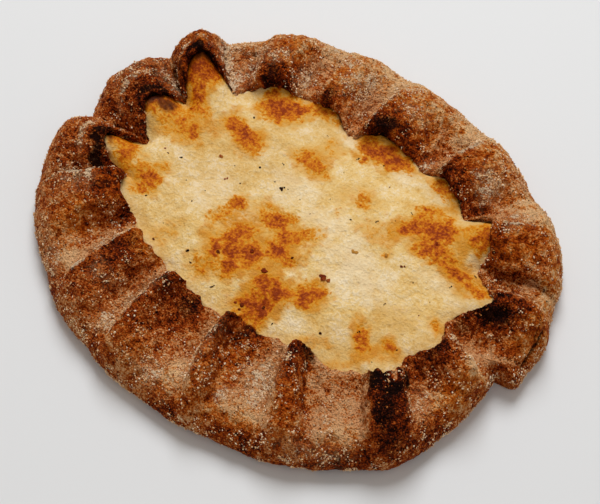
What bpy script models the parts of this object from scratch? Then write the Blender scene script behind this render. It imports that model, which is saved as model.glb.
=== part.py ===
"""Karelian pasty: a thin rye crust crimped into pleats around an open savoury filling.

Metres, +Z up. The origin is at the middle of the footprint, on the flat underside, and +X runs
along the long axis. Two solids: the crust, one sheet of dough with a floor, a bulging outer fold and
sixteen pleats whose lips frame the mouth, and the filling that it holds.
"""
import bpy
import numpy as np

MM = 0.001

# Overall form
HALF_LENGTH = 64.0 * MM
HALF_WIDTH = 54.5 * MM
BULGE_HEIGHT = 3.2 * MM      # height at which the outer fold reaches furthest out
UNDERCUT = 3.0 * MM          # how far the flat underside stays inside the outer fold
FLAP_REACH = 5.2 * MM        # extra reach of the doubled edge at the +X end
FLAP_START = -0.9            # bearing in degrees at which the doubled edge stops short
FLAP_NOTCH = 1.2             # degrees over which it sets in
FLAP_FADE = 24.0             # degrees over which it runs out again
HEEL_HEIGHT = 0.3            # share of the bulge's height at which the heel is rounded
HEEL_REACH = 0.25            # share of the undercut that is left there

# Dough
DOUGH = 1.6 * MM
FLOOR = 2.0 * MM
CREASE_HEIGHT = 9.4 * MM     # top of the dough in the creases, where it lies on the filling
SHOULDER = 0.40              # share of the rim's width over which a crease climbs to that height
RIDGE_SHOULDER = 0.72        # the same for a closed ridge
HOOD_SHOULDER = 0.78         # the same for a hood, whose outer wall is steeper
BEND = 0.6                   # how sharply a crease turns up at the outer edge: lower is sharper
RIDGE_BEND = 0.85            # the same for a closed ridge
HOOD_BEND = 0.7              # the same for a hood
TIP_DROP = 0.16              # share of a closed ridge's rise lost again at its inner tip
TIP_DROP_START = 0.84        # share of the way to the lip at which that begins
ARCH_BREADTH = 0.62          # roundness of a hood's arch, where 0.5 would be a half circle
NARROW_ARCHES = {14: 1.5, 15: 1.3}   # half pleats whose arch is narrower, such as between two hoods
NOSE = 0.9 * MM              # how far the rounded lip bulges over the filling
NOSE_RINGS = (0.3, 0.7)      # shares of the dough's thickness at which the lip bulges
RIDGE_CORE = 0.12            # share of a closed ridge's rise that its underside follows
WALL_HEIGHT = 1.6 * MM       # height of the inside of the outer wall above the floor
WALL_INSET = 1.15            # its distance from the outer edge, in thicknesses of dough
FLOOR_INSET = 1.9            # the same at the floor
FLAT_RING = 0.5              # share of the way out at which a flat face has its one inner ring
LEAST_OUTWARDS = -0.2        # limits on how the underside follows the slope of the sheet
LEAST_UPWARDS = 0.35
LEAST_SLOPE = 0.3
SLOPE_STEP = 0.004           # step in pleats and shares for reading that slope

# Filling
GAP = 0.3 * MM
WALL_GAPS = 4.0              # gaps left beside the outer wall, where the dough is uneven
HOOD_FILL = 0.45             # share of a hood's rise that the filling climbs
BRIM_INSET = 0.5 * MM        # how far the filling stays inside the lip's gap where it comes up
RIM_INSET = 0.6 * MM         # and how much further in its rounded rim ends
BRIM_LIFT = 0.3 * MM         # how far the brim stands above the underside of the lip
RIM_LIFT = 0.45 * MM         # and how far the rim stands above the brim
MIDDLE_HEIGHT = 10.6 * MM
CROWN_HEIGHT = 2.6 * MM      # how much lower the filling would be at the outer edge
WAVE_HEIGHT = 0.35 * MM      # gentle rise and fall of the filling's top
WAVE_LENGTH = 9.0 * MM       # and its measure along and across
WAVE_WIDTH = 7.5 * MM
WAVE_START = (0.7, -0.4)     # phase of the wave in radians along and across
MOUTH_LENGTH = 45.0 * MM     # half length of the oval that the filling's inner rings follow
MOUTH_WIDTH = 30.0 * MM
RIM_FADE = 0.26              # share of the way to the middle over which the rim's shape fades

# Pleats, going anticlockwise from +X. Bearings are in degrees and lengths in mm.
# A ridge: bearing and stand-out of the outer edge, then its tip's bearing, distance from the middle
# and height, and 1 where the ridge is an open hood.
RIDGES = (
    (14, -0.4, 13, 51.5, 15.0, 0),
    (33, 2.9, 34, 47.5, 15.0, 1),
    (61, 0.6, 56, 39.5, 14.2, 0),
    (84, -1.2, 84, 34.0, 14.2, 0),
    (105, -0.4, 112, 35.0, 13.4, 0),
    (124, 0.0, 136, 40.5, 14.6, 0),
    (151, -1.6, 154, 52.0, 17.0, 1),
    (173, -0.9, 174, 48.5, 14.2, 1),
    (193, 0.6, 191, 49.5, 14.8, 1),
    (213, 1.0, 209, 39.5, 13.8, 0),
    (237, 0.8, 224, 36.5, 13.0, 0),
    (255, 0.2, 251, 32.5, 14.0, 0),
    (277, 0.0, 283, 29.5, 14.4, 0),
    (304, 0.9, 314, 34.5, 14.0, 0),
    (328, 2.0, 336, 46.0, 15.6, 0),
    (352, -3.4, 355, 48.0, 14.4, 0),
)
# The crease after each ridge: bearing and stand-out of the edge, its lip's bearing and distance,
# and its spread, which is under 1 for a sharp crease and over 1 for a broad flat tongue.
CREASES = (
    (21, 0.9, 23, 45.5, 1.3),
    (46, 0.7, 40, 41.0, 1.0),
    (71, -0.8, 64, 35.5, 1.1),
    (95, -1.4, 100, 30.0, 1.2),
    (114, -0.6, 122, 37.0, 0.9),
    (144, -2.4, 149, 41.0, 1.6),
    (159, -3.0, 165, 43.0, 1.0),
    (184.5, -4.2, 184, 42.0, 1.0),
    (206, 1.2, 198, 42.0, 0.8),
    (228, 0.2, 217, 37.5, 0.8),
    (249, -0.2, 238, 33.0, 0.65),
    (270, -0.4, 271, 29.8, 0.8),
    (287, -0.3, 299, 30.5, 1.5),
    (318, 1.1, 326, 39.0, 1.9),
    (343, -1.6, 344, 43.5, 1.0),
    (361, -4.6, 363, 44.7, 1.2),
)

# How each pleat leans. Going from a crease to its ridge, the dough leaves the crease and reaches the
# ridge's height at these shares of the way: two for the side that falls, two for the side that rises.
LEANS = (
    (0.45, 0.95, 0.00, 1.00),
    (0.45, 0.92, 0.00, 0.80),
    (0.25, 0.72, 0.00, 0.85),
    (0.05, 0.50, 0.00, 1.00),
    (0.10, 0.58, 0.00, 1.00),
    (0.30, 0.82, 0.00, 0.90),
    (0.00, 1.00, 0.00, 1.00),
    (0.00, 1.00, 0.00, 1.00),
    (0.00, 1.00, 0.00, 1.00),
    (0.00, 1.00, 0.35, 0.92),
    (0.00, 1.00, 0.40, 0.85),
    (0.00, 1.00, 0.55, 0.95),
    (0.00, 1.00, 0.60, 1.00),
    (0.50, 0.92, 0.45, 0.85),
    (0.30, 0.75, 0.30, 0.72),
    (0.50, 0.95, 0.00, 0.90),
)

STEPS = (0.0, 0.14, 0.28, 0.40, 0.50, 0.60, 0.74, 0.88)      # samples across one pleat
TOP_RINGS = (0.0, 0.03, 0.10, 0.21, 0.36, 0.54, 0.72, 0.88, 1.0)
UNDER_RINGS = (1.0, 0.84, 0.62, 0.42, 0.26, 0.15)
FILLING_RINGS = (0.94, 0.86, 0.76, 0.54, 0.28)


def smooth(t):
    """Rises from 0 to 1 with level ends."""
    t = np.clip(t, 0.0, 1.0)
    return t * t * (3.0 - 2.0 * t)


def around(ridge, crease, turn=0.0):
    """Values at the ridges and creases, one after the other, closed into a loop."""
    stations = np.stack([ridge, crease], axis=1).ravel().astype(float)
    return np.concatenate([stations, stations[:1] + turn])


PLEATS = len(RIDGES)
RIDGE = np.array(RIDGES, dtype=float).T
CREASE = np.array(CREASES, dtype=float).T
FOOT_BEARING = around(RIDGE[0], CREASE[0], 360.0)
EDGE_OFFSET = around(RIDGE[1], CREASE[1])
TIP_BEARING = around(RIDGE[2], CREASE[2], 360.0)
TIP_DISTANCE = around(RIDGE[3], CREASE[3])
TIP_HEIGHT = around(RIDGE[4], np.full(PLEATS, CREASE_HEIGHT / MM))
HOOD = around(RIDGE[5], np.zeros(PLEATS))
SPREAD = around(np.zeros(PLEATS), CREASE[4])
LEAN = np.array(LEANS, dtype=float).T
ARCH = np.array([NARROW_ARCHES.get(k, ARCH_BREADTH) for k in range(2 * PLEATS)])


def straight(stations, u):
    """Reads a loop of stations at pleat position u, in straight steps."""
    return np.interp(2.0 * u, np.arange(len(stations)), stations)


def half_pleat(u):
    """Number of the half pleat at u, whether its ridge comes first, and 0 in its crease to 1 on its ridge."""
    k = np.minimum((2.0 * u).astype(int), 2 * PLEATS - 1)
    ridge_first = k % 2 == 0
    past = 2.0 * u - k
    return k, ridge_first, np.where(ridge_first, 1.0 - past, past)


def arched(arch, closed, k, away):
    """A closed ridge's rise, or a hood's round arch."""
    return (1.0 - arch) * closed + arch * (1.0 - (1.0 - away) ** 2) ** ARCH[k]


def rounded(stations, u):
    """Reads a loop of stations at pleat position u.

    Away from a crease a closed ridge rises in a level-ended curve, bent by the crease's spread,
    and a hood rises in a round arch.
    """
    k, ridge_first, away = half_pleat(u)
    ridge = np.where(ridge_first, stations[k], stations[k + 1])
    crease = np.where(ridge_first, stations[k + 1], stations[k])
    spread = np.where(ridge_first, SPREAD[k + 1], SPREAD[k])
    arch = np.where(ridge_first, HOOD[k], HOOD[k + 1])
    return crease + (ridge - crease) * arched(arch, smooth(away) ** spread, k, away)


def leaning(u):
    """The ridges' rise over the creases at the lip, each pleat laid over to one side."""
    k, ridge_first, away = half_pleat(u)
    ridge = np.where(ridge_first, k // 2, (k + 1) // 2 % PLEATS)
    low = np.where(ridge_first, LEAN[0][ridge], LEAN[2][ridge])
    high = np.where(ridge_first, LEAN[1][ridge], LEAN[3][ridge])
    height = np.where(ridge_first, TIP_HEIGHT[k], TIP_HEIGHT[k + 1]) * MM - CREASE_HEIGHT
    arch = np.where(ridge_first, HOOD[k], HOOD[k + 1])
    return height * arched(arch, smooth((away - low) / (high - low)), k, away)


def on_bearing(bearing, distance):
    turn = np.radians(bearing)
    return np.stack([distance * np.cos(turn), distance * np.sin(turn)], axis=-1)


def edge_distance(bearing, u):
    """Distance of the outer edge: an ellipse, the pleats' own offsets and the doubled edge."""
    turn = np.radians(bearing)
    ellipse = HALF_LENGTH * HALF_WIDTH / np.hypot(HALF_WIDTH * np.cos(turn), HALF_LENGTH * np.sin(turn))
    past = (bearing - FLAP_START + 180.0) % 360.0 - 180.0
    flap = FLAP_REACH * smooth(past / FLAP_NOTCH) * (1.0 - smooth(past / FLAP_FADE))
    return ellipse + rounded(EDGE_OFFSET, u) * MM + flap


def climb(share, shoulder, bend):
    """Rises from 0 to 1 over the shoulder, steepest at the outer edge, then stays level."""
    t = np.clip(share / shoulder, 0.0, 1.0)
    return (1.0 - (1.0 - t) ** 2) ** bend


def sheet(u, share, closed_share, hood_share):
    """The dough's outer face. u runs along the rim in pleats, share across it from edge to lip.

    The plan runs straight from the edge to the lip. The height is the crease's, plus a ridge that
    grows inwards. closed_share and hood_share say how much of a closed ridge and of a hood to keep.
    """
    foot_bearing = straight(FOOT_BEARING, u)
    foot = on_bearing(foot_bearing, edge_distance(foot_bearing, u))
    tip = on_bearing(straight(TIP_BEARING, u), rounded(TIP_DISTANCE, u) * MM)
    plan = foot + (tip - foot) * share[..., None]
    rise = leaning(u)
    hood = rounded(HOOD, u)
    low = BULGE_HEIGHT + (CREASE_HEIGHT - BULGE_HEIGHT) * climb(share, SHOULDER, BEND)
    near_tip = smooth((share - TIP_DROP_START) / (1.0 - TIP_DROP_START))
    closed = climb(share, RIDGE_SHOULDER, RIDGE_BEND) * (1.0 - TIP_DROP * near_tip)
    open_hood = climb(share, HOOD_SHOULDER, HOOD_BEND)
    ridge = (1.0 - hood) * closed_share * closed + hood * hood_share * open_hood
    return np.concatenate([plan, (low + rise * ridge)[..., None]], axis=-1)


def inside(u, rings, depth, closed_share, hood_share):
    """The sheet pushed inwards so that it lies depth below itself, for each ring of shares.

    A point moves down and towards the middle only, so that it keeps its bearing.
    """
    faces = []
    for ring in rings:
        share = np.full_like(u, ring)
        point = sheet(u, share, closed_share, hood_share)
        ahead = sheet((u + SLOPE_STEP) % PLEATS, share, closed_share, hood_share)
        behind = sheet((u - SLOPE_STEP) % PLEATS, share, closed_share, hood_share)
        inner = sheet(u, share - SLOPE_STEP, closed_share, hood_share)
        outer = sheet(u, share - 2.0 * SLOPE_STEP, closed_share, hood_share)
        normal = np.cross(inner - outer, behind - ahead)
        normal /= np.linalg.norm(normal, axis=-1, keepdims=True)
        normal *= np.sign(normal[:, 2:3])
        out = point[:, :2] / np.linalg.norm(point[:, :2], axis=1, keepdims=True)
        outwards = np.maximum((normal[:, :2] * out).sum(axis=1), LEAST_OUTWARDS)
        upwards = np.maximum(normal[:, 2], LEAST_UPWARDS)
        scale = depth / np.maximum(outwards ** 2 + upwards ** 2, LEAST_SLOPE)
        step = np.column_stack([out * (outwards * scale)[:, None], upwards * scale])
        faces.append(point - step)
    return faces


def shrunk(ring, share, height):
    """A copy of a ring drawn towards the middle and laid level at a height."""
    return np.column_stack([ring[:, :2] * share, np.full(len(ring), height)])


def inwards(ring, distance):
    """A ring moved level towards the middle."""
    reach = np.linalg.norm(ring[:, :2], axis=1, keepdims=True)
    moved = ring.copy()
    moved[:, :2] *= (reach - distance) / reach
    return moved


def crust_rings(u):
    """Rings from the middle of the underside, up the outside, over the lip and back inside."""
    edge = sheet(u, np.zeros_like(u), 1.0, 1.0)
    base = inwards(edge, UNDERCUT)
    rings = [shrunk(base, FLAT_RING, 0.0), shrunk(base, 1.0, 0.0)]
    heel = inwards(edge, UNDERCUT * HEEL_REACH)
    heel[:, 2] = BULGE_HEIGHT * HEEL_HEIGHT
    rings.append(heel)
    rings += [sheet(u, np.full_like(u, share), 1.0, 1.0) for share in TOP_RINGS]
    under = inside(u, UNDER_RINGS, DOUGH, RIDGE_CORE, 1.0)
    top, bottom = rings[-1], under[0]
    rings += [inwards(top + (bottom - top) * share, NOSE) for share in NOSE_RINGS]
    rings += under
    wall = inwards(edge, DOUGH * WALL_INSET)
    wall[:, 2] = FLOOR + WALL_HEIGHT
    rings += [wall, shrunk(inwards(edge, DOUGH * FLOOR_INSET), 1.0, FLOOR), shrunk(base, FLAT_RING, FLOOR)]
    return rings, FLOOR


def filling_top(plan):
    """Height of the filling's top: a low crown with a slow wave."""
    x, y = plan[:, 0], plan[:, 1]
    crown = (x / HALF_LENGTH) ** 2 + (y / HALF_WIDTH) ** 2
    wave = np.sin(x / WAVE_LENGTH + WAVE_START[0]) * np.cos(y / WAVE_WIDTH + WAVE_START[1])
    return MIDDLE_HEIGHT - CROWN_HEIGHT * crown + WAVE_HEIGHT * wave


def filling_rings(u):
    """Rings from the middle of the floor, up inside the crust, out of the mouth and over the top."""
    edge = sheet(u, np.zeros_like(u), 1.0, 1.0)
    base = inwards(edge, UNDERCUT)
    lift = FLOOR + GAP
    wall = inwards(edge, DOUGH * WALL_INSET + WALL_GAPS * GAP)
    wall[:, 2] = FLOOR + WALL_HEIGHT
    under = inside(u, UNDER_RINGS, DOUGH + GAP, RIDGE_CORE, HOOD_FILL)[::-1]
    rings = [shrunk(base, FLAT_RING, lift), shrunk(inwards(edge, DOUGH * FLOOR_INSET + GAP), 1.0, lift), wall]
    rings += under
    brim = inwards(under[-1], NOSE + GAP + BRIM_INSET)
    brim[:, 2] += BRIM_LIFT
    rim = inwards(brim, RIM_INSET)
    rim[:, 2] += RIM_LIFT
    rings += [brim, rim]
    bearing = np.arctan2(rim[:, 1], rim[:, 0])
    oval = np.column_stack([MOUTH_LENGTH * np.cos(bearing), MOUTH_WIDTH * np.sin(bearing)])
    for share in FILLING_RINGS:
        mix = smooth((1.0 - share) / RIM_FADE)
        plan = share * (rim[:, :2] * (1.0 - mix) + oval * mix)
        ring = np.column_stack([plan, rim[:, 2]])
        ring[:, 2] += (filling_top(ring) - rim[:, 2]) * mix
        rings.append(ring)
    return rings, MIDDLE_HEIGHT


def skin(name, rings, low, high, material, collection):
    """One closed body through a stack of rings, with a point closing each end."""
    count = len(rings[0])
    points = np.concatenate([np.array([[0.0, 0.0, low]])] + rings + [np.array([[0.0, 0.0, high]])])
    across = np.roll(np.arange(count), -1)
    faces = []
    for i in range(count):
        faces.append((0, 1 + across[i], 1 + i))
    for r in range(len(rings) - 1):
        a = 1 + r * count
        b = a + count
        for i in range(count):
            j = across[i]
            faces.append((a + i, a + j, b + j, b + i))
    last = 1 + (len(rings) - 1) * count
    for i in range(count):
        faces.append((last + i, last + across[i], len(points) - 1))
    mesh = bpy.data.meshes.new(name)
    mesh.from_pydata(points.tolist(), [], faces)
    mesh.materials.append(material)
    mesh.shade_smooth()
    part = bpy.data.objects.new(name, mesh)
    collection.objects.link(part)
    return part


def finish(name, colour, roughness):
    material = bpy.data.materials.new(name)
    material.use_nodes = True
    shader = material.node_tree.nodes["Principled BSDF"]
    shader.inputs["Base Color"].default_value = (*colour, 1.0)
    shader.inputs["Roughness"].default_value = roughness
    shader.inputs["Metallic"].default_value = 0.0
    material.diffuse_color = (*colour, 1.0)
    return material


def centred(parts):
    """Moves the meshes so that the footprint's middle is at the origin and the base at Z 0."""
    points = np.array([vertex.co[:] for part in parts for vertex in part.data.vertices])
    low, high = points.min(axis=0), points.max(axis=0)
    shift = np.array([-(low[0] + high[0]) / 2, -(low[1] + high[1]) / 2, -low[2]])
    for part in parts:
        for vertex in part.data.vertices:
            vertex.co += type(vertex.co)(shift)
    return shift


def main():
    for item in list(bpy.data.objects):
        bpy.data.objects.remove(item, do_unlink=True)
    pasty = bpy.data.collections.new("karelian_pasty")
    bpy.context.scene.collection.children.link(pasty)
    crust_look = finish("baked_rye_crust", (0.24, 0.10, 0.045), 0.8)
    filling_look = finish("rice_filling", (0.75, 0.60, 0.33), 0.65)
    u = np.concatenate([pleat + np.array(STEPS) for pleat in range(PLEATS)])
    rings, floor = crust_rings(u)
    crust = skin("crust", rings, 0.0, floor, crust_look, pasty)
    rings, middle = filling_rings(u)
    filling = skin("filling", rings, FLOOR + GAP, middle, filling_look, pasty)
    shift = centred([crust, filling])
    print("moved by mm", [round(float(v) / MM, 3) for v in shift])


main()
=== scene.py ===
import math
import bpy
import numpy as np
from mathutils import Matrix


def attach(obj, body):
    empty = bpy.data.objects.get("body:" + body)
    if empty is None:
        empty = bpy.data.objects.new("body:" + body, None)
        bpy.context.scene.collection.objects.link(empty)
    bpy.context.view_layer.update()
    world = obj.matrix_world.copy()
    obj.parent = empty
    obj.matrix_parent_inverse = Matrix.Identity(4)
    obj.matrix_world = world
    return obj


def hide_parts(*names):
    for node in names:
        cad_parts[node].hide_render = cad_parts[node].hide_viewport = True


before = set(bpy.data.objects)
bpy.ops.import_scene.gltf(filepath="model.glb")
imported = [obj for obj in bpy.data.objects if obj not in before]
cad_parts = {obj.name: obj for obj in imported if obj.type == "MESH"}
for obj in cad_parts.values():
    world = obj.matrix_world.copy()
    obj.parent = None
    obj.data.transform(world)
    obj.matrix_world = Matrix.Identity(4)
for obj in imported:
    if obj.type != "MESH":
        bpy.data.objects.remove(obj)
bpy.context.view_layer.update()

mm = 0.001

# One sheet of rye dough crimped into sixteen pleats round a mouth full of rice porridge.
# Everything is worked out in millimetres and turned to metres when it becomes a mesh.

shape = {
    "halfLength": 64.0,      # the outer edge is an oval
    "halfWidth": 54.5,
    "bulgeHeight": 3.2,      # where the outer fold reaches furthest out
    "undercut": 3.0,         # how far the flat underside stays inside it
    "creaseHeight": 9.4,     # top of the dough in the creases
    "hollow": 1.6,           # how far the creases sag between the outer fold and the lip
    "dough": 1.6,
    "floor": 2.0,
    "nose": 0.9,             # bulge of the rounded lip
    "middleHeight": 10.6,    # top of the filling
    "ridgeCore": 0.12,       # how far the underside follows a closed ridge
    "gap": 0.3,              # between the dough and the porridge
    "wallIn": 1.15,          # how far in the inner wall and the floor's rim lie, in dough thicknesses
    "floorIn": 1.9,
    "wallFoot": 1.6,         # where the inner wall meets them, above the floor
    # how the dough, a closed ridge and a hood climb from the edge: share at the shoulder, bend
    "skirt": (0.40, 0.6),
    "ridgeClimb": (0.72, 0.85),
    "hoodClimb": (0.78, 0.7),
    "flapReach": 5.2,        # the doubled edge at the +X end, and where in degrees it begins and fades
    "flapStart": -0.9,
    "flapNotch": 1.2,
    "flapFade": 24.0,
}

# ridge: bearing and stand-out of the outer edge, bearing, distance and height of the tip, 1 for a hood
ridges = np.array([
    (14, -0.4, 13, 51.5, 15.0, 0), (33, 2.9, 34, 47.5, 15.0, 1), (61, 0.6, 56, 39.5, 14.2, 0),
    (84, -1.2, 84, 34.0, 14.2, 0), (105, -0.4, 112, 35.0, 13.4, 0), (124, 0.0, 136, 40.5, 14.6, 0),
    (151, -1.6, 154, 52.0, 17.0, 1), (173, -0.9, 174, 48.5, 14.2, 1), (193, 0.6, 191, 49.5, 14.8, 1),
    (213, 1.0, 209, 39.5, 13.8, 0), (237, 0.8, 224, 36.5, 13.0, 0), (255, 0.2, 251, 32.5, 14.0, 0),
    (277, 0.0, 283, 29.5, 14.4, 0), (304, 0.9, 314, 34.5, 14.0, 0), (328, 2.0, 336, 46.0, 15.6, 0),
    (352, -3.4, 355, 48.0, 14.4, 0),
]).T
# crease after each ridge: bearing and stand-out of the edge, bearing and distance of its lip, spread
creases = np.array([
    (21, 0.9, 23, 45.5, 1.3), (46, 0.7, 40, 41.0, 1.0), (71, -0.8, 64, 35.5, 1.1),
    (95, -1.4, 100, 30.0, 1.2), (114, -0.6, 122, 37.0, 0.9), (144, -2.4, 149, 41.0, 1.6),
    (159, -3.0, 165, 43.0, 1.0), (184.5, -4.2, 184, 42.0, 1.0), (206, 1.2, 198, 42.0, 0.8),
    (228, 0.2, 217, 37.5, 0.8), (249, -0.2, 238, 33.0, 0.65), (270, -0.4, 271, 29.8, 0.8),
    (287, -0.3, 299, 30.5, 1.5), (318, 1.1, 326, 39.0, 1.9), (343, -1.6, 344, 43.5, 1.0),
    (361, -4.6, 363, 44.7, 1.2),
]).T
pleats = ridges.shape[1]
fineSteps = 8001          # samples for measuring the way round


def smooth(t):  # 3t^2 - 2t^3 between 0 and 1
    t = np.clip(t, 0.0, 1.0)
    return t * t * (3.0 - 2.0 * t)


def loop(atRidge, atCrease, turn=0.0):  # ridge and crease values one after the other, closed
    both = np.stack([atRidge, atCrease], axis=1).ravel().astype(float)
    return np.concatenate([both, both[:1] + turn])


footBearing = loop(ridges[0], creases[0], 360.0)
edgeOffset = loop(ridges[1], creases[1])
tipBearing = loop(ridges[2], creases[2], 360.0)
tipDistance = loop(ridges[3], creases[3])
tipHeight = loop(ridges[4], np.full(pleats, shape["creaseHeight"]))
hoodAt = loop(ridges[5], np.zeros(pleats))
spreadAt = loop(np.zeros(pleats), creases[4])


# where each half pleat leaves the crease and where it reaches the ridge, as shares of the way:
# falling side low, high, rising side low, high. Most pleats are laid over on one side like shingles.
leans = np.array([
    (0.56, 0.90, 0.0, 1.0), (0.56, 0.88, 0.0, 0.8), (0.34, 0.66, 0.0, 0.85), (0.14, 0.44, 0.0, 1.0),
    (0.20, 0.50, 0.0, 1.0), (0.40, 0.74, 0.0, 0.9), (0.0, 1.0, 0.0, 1.0), (0.0, 1.0, 0.0, 1.0),
    (0.0, 1.0, 0.0, 1.0), (0.30, 0.90, 0.0, 0.16), (0.06, 0.62, 0.50, 0.80), (0.20, 0.74, 0.64, 0.92),
    (0.32, 0.78, 0.70, 0.95), (0.62, 0.95, 0.52, 0.82), (0.36, 0.70, 0.36, 0.68), (0.58, 0.90, 0.0, 0.9),
]).T
# how far each crest runs off course, in pleats, at the edge and at the lip
sweeps = np.zeros((2, pleats))
sweeps[0, [9, 11, 12, 13]] = -0.16, 0.0, -0.20, -0.08
sweeps[1, [9, 11, 12, 13]] = 0.05, 0.26, 0.30, 0.12
# where the lip reaches further out, or in over the filling as a round lobe: place in pleats, mm
lipReach = np.array([
    (0.0, 0.0), (0.4, 0.7), (0.7, 0.0), (5.6, 0.0), (8.6, 1.5), (8.84, 3.2), (8.96, 1.8), (9.13, 0.8),
    (9.34, 0.0), (9.9, 0.4), (10.02, -0.6), (10.18, -1.1), (10.42, -1.6), (10.62, -0.6), (10.76, -0.2),
    (10.84, -1.4), (11.03, -2.3), (11.22, -2.2), (11.36, -0.5), (11.52, 0.0), (11.74, 0.4), (11.80, -0.3),
    (12.0, -1.3), (12.22, -1.2), (12.32, -0.1), (12.52, 0.0), (12.78, 0.8), (12.86, -0.4), (12.98, -1.6),
    (13.10, -1.0), (13.18, 0.2), (13.46, 1.6), (13.70, 2.8), (13.82, 1.9), (13.98, 0.5), (14.12, 1.2),
    (14.24, 2.0), (14.5, 0.5), (15.28, -1.0), (15.6, 0.0), (16.0, 0.0),
]).T


# how full the round arch of each hood is on its falling and its rising side, 1 and more is narrow
archPower = np.full(2 * pleats, 0.62)
archPower[[11, 13, 14, 15]] = 0.95, 0.8, 1.5, 1.3


def halfPleat(u):  # index of the half pleat, whether it falls from a ridge, 0 in the crease to 1 on top
    u = u % pleats
    k = np.minimum((2.0 * u).astype(int), 2 * pleats - 1)
    first = k % 2 == 0
    past = 2.0 * u - k
    return k, first, np.where(first, 1.0 - past, past)


def roundArch(away, k):  # (1 - (1 - t)^2) to the half pleat's own power
    return np.maximum(1.0 - (1.0 - away) ** 2, 0.0) ** archPower[k]


def ridgeness(u):  # 1 on a ridge, 0 in a crease: smoothstep to the power of the spread, or a round arch
    k, first, away = halfPleat(u)
    spread = np.where(first, spreadAt[k + 1], spreadAt[k])
    arch = np.where(first, hoodAt[k], hoodAt[k + 1])
    rise = (1.0 - arch) * smooth(away) ** spread + arch * roundArch(away, k)
    return rise, k, first


def leaning(u):  # the same with each pleat laid over: smoothstep between its two shares of the way
    k, first, away = halfPleat(u)
    ridge = np.where(first, k // 2, (k + 1) // 2 % pleats)
    low = np.where(first, leans[0][ridge], leans[2][ridge])
    high = np.where(first, leans[1][ridge], leans[3][ridge])
    arch = np.where(first, hoodAt[k], hoodAt[k + 1])
    over = smooth((away - low) / (high - low))
    return (1.0 - arch) * over + arch * roundArch(away, k)


def swept(u, share):
    # the place a point has if each crest is put back on its course, by cosine squared across the pleat
    ridge = np.round(u).astype(int) % pleats
    off = sweeps[0][ridge] + (sweeps[1] - sweeps[0])[ridge] * smooth(share)
    return u + off * np.cos(math.pi * u) ** 2


def rounded(stations, u):
    rise, k, first = ridgeness(u)
    ridge = np.where(first, stations[k], stations[k + 1])
    crease = np.where(first, stations[k + 1], stations[k])
    return crease + (ridge - crease) * rise


def straight(stations, u):
    return np.interp(2.0 * (u % pleats), np.arange(len(stations)), stations)


def polar(bearing, distance):
    turn = np.radians(bearing)
    return np.stack([distance * np.cos(turn), distance * np.sin(turn)], axis=-1)


def edgeDistance(bearing, u):  # oval, plus each pleat's stand-out, plus the doubled edge at the +X end
    turn = np.radians(bearing)
    a, b = shape["halfLength"], shape["halfWidth"]
    past = (bearing - shape["flapStart"] + 180.0) % 360.0 - 180.0
    flap = shape["flapReach"] * smooth(past / shape["flapNotch"]) * (1.0 - smooth(past / shape["flapFade"]))
    return a * b / np.hypot(b * np.cos(turn), a * np.sin(turn)) + rounded(edgeOffset, u) + flap


def climb(share, shoulder, bend):  # (1 - (1 - t)^2)^bend up to the shoulder, then level
    t = np.clip(share / shoulder, 0.0, 1.0)
    return (1.0 - (1.0 - t) ** 2) ** bend


def sheet(u, share, closedShare=1.0, hoodShare=1.0):
    # the dough's outer face: straight in plan from edge to lip, crease height plus a ridge growing inwards
    bearing = straight(footBearing, u)
    foot = polar(bearing, edgeDistance(bearing, u))
    reach = np.interp(u % pleats, *lipReach) * smooth((share - 0.5) / 0.5)
    tip = polar(straight(tipBearing, u), rounded(tipDistance, u) + reach)
    plan = foot + (tip - foot) * share[..., None]
    k, first, away = halfPleat(u)
    top = np.where(first, tipHeight[k], tipHeight[k + 1]) - shape["creaseHeight"]
    level = leaning(swept(u, share))
    rise = top * level
    hood = rounded(hoodAt, u)
    bulge = shape["bulgeHeight"]
    low = bulge + (shape["creaseHeight"] - bulge) * climb(share, *shape["skirt"])
    closed = climb(share, *shape["ridgeClimb"]) * (1.0 - 0.16 * smooth((share - 0.84) / 0.16))
    ridge = (1.0 - hood) * closedShare * closed + hood * hoodShare * climb(share, *shape["hoodClimb"])
    sag = smooth((share - 0.2) / 0.35) * (1.0 - 0.7 * smooth((share - 0.72) / 0.28))
    hollow = shape["hollow"] * (1.0 - level) * sag
    return np.concatenate([plan, (low - hollow + rise * ridge)[..., None]], axis=-1)


def inside(u, share, depth, closedShare, hoodShare):
    # the sheet moved down and towards the middle so that it lies depth below itself
    small = 0.004            # pleats, and shares of the way, for measuring the slope
    point = sheet(u, share, closedShare, hoodShare)
    ahead = sheet(u + small, share, closedShare, hoodShare)
    behind = sheet(u - small, share, closedShare, hoodShare)
    inner = sheet(u, share - small, closedShare, hoodShare)
    outer = sheet(u, share - 2.0 * small, closedShare, hoodShare)
    normal = np.cross(inner - outer, behind - ahead)
    normal /= np.linalg.norm(normal, axis=-1, keepdims=True) + 1e-12
    normal *= np.sign(normal[..., 2:3])
    out = point[..., :2] / np.linalg.norm(point[..., :2], axis=-1, keepdims=True)
    outwards = np.maximum((normal[..., :2] * out).sum(axis=-1), -0.2)
    upwards = np.maximum(normal[..., 2], 0.35)
    scale = depth / np.maximum(outwards ** 2 + upwards ** 2, 0.3)
    step = np.concatenate([out * (outwards * scale)[..., None], (upwards * scale)[..., None]], axis=-1)
    return point - step


def evenPlaces(count, share):  # places round the rim in even steps along the line at this share
    fine = np.linspace(0.0, pleats, fineSteps)
    trail = sheet(fine, np.full_like(fine, share))
    run = np.concatenate([[0.0], np.cumsum(np.linalg.norm(np.diff(trail, axis=0), axis=1))])
    return np.interp(np.arange(count) / count * run[-1], run, fine)


def inwards(points, distance):  # level, towards the middle
    reach = np.linalg.norm(points[..., :2], axis=-1, keepdims=True)
    moved = points.copy()
    moved[..., :2] *= (reach - distance) / reach
    return moved


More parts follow.
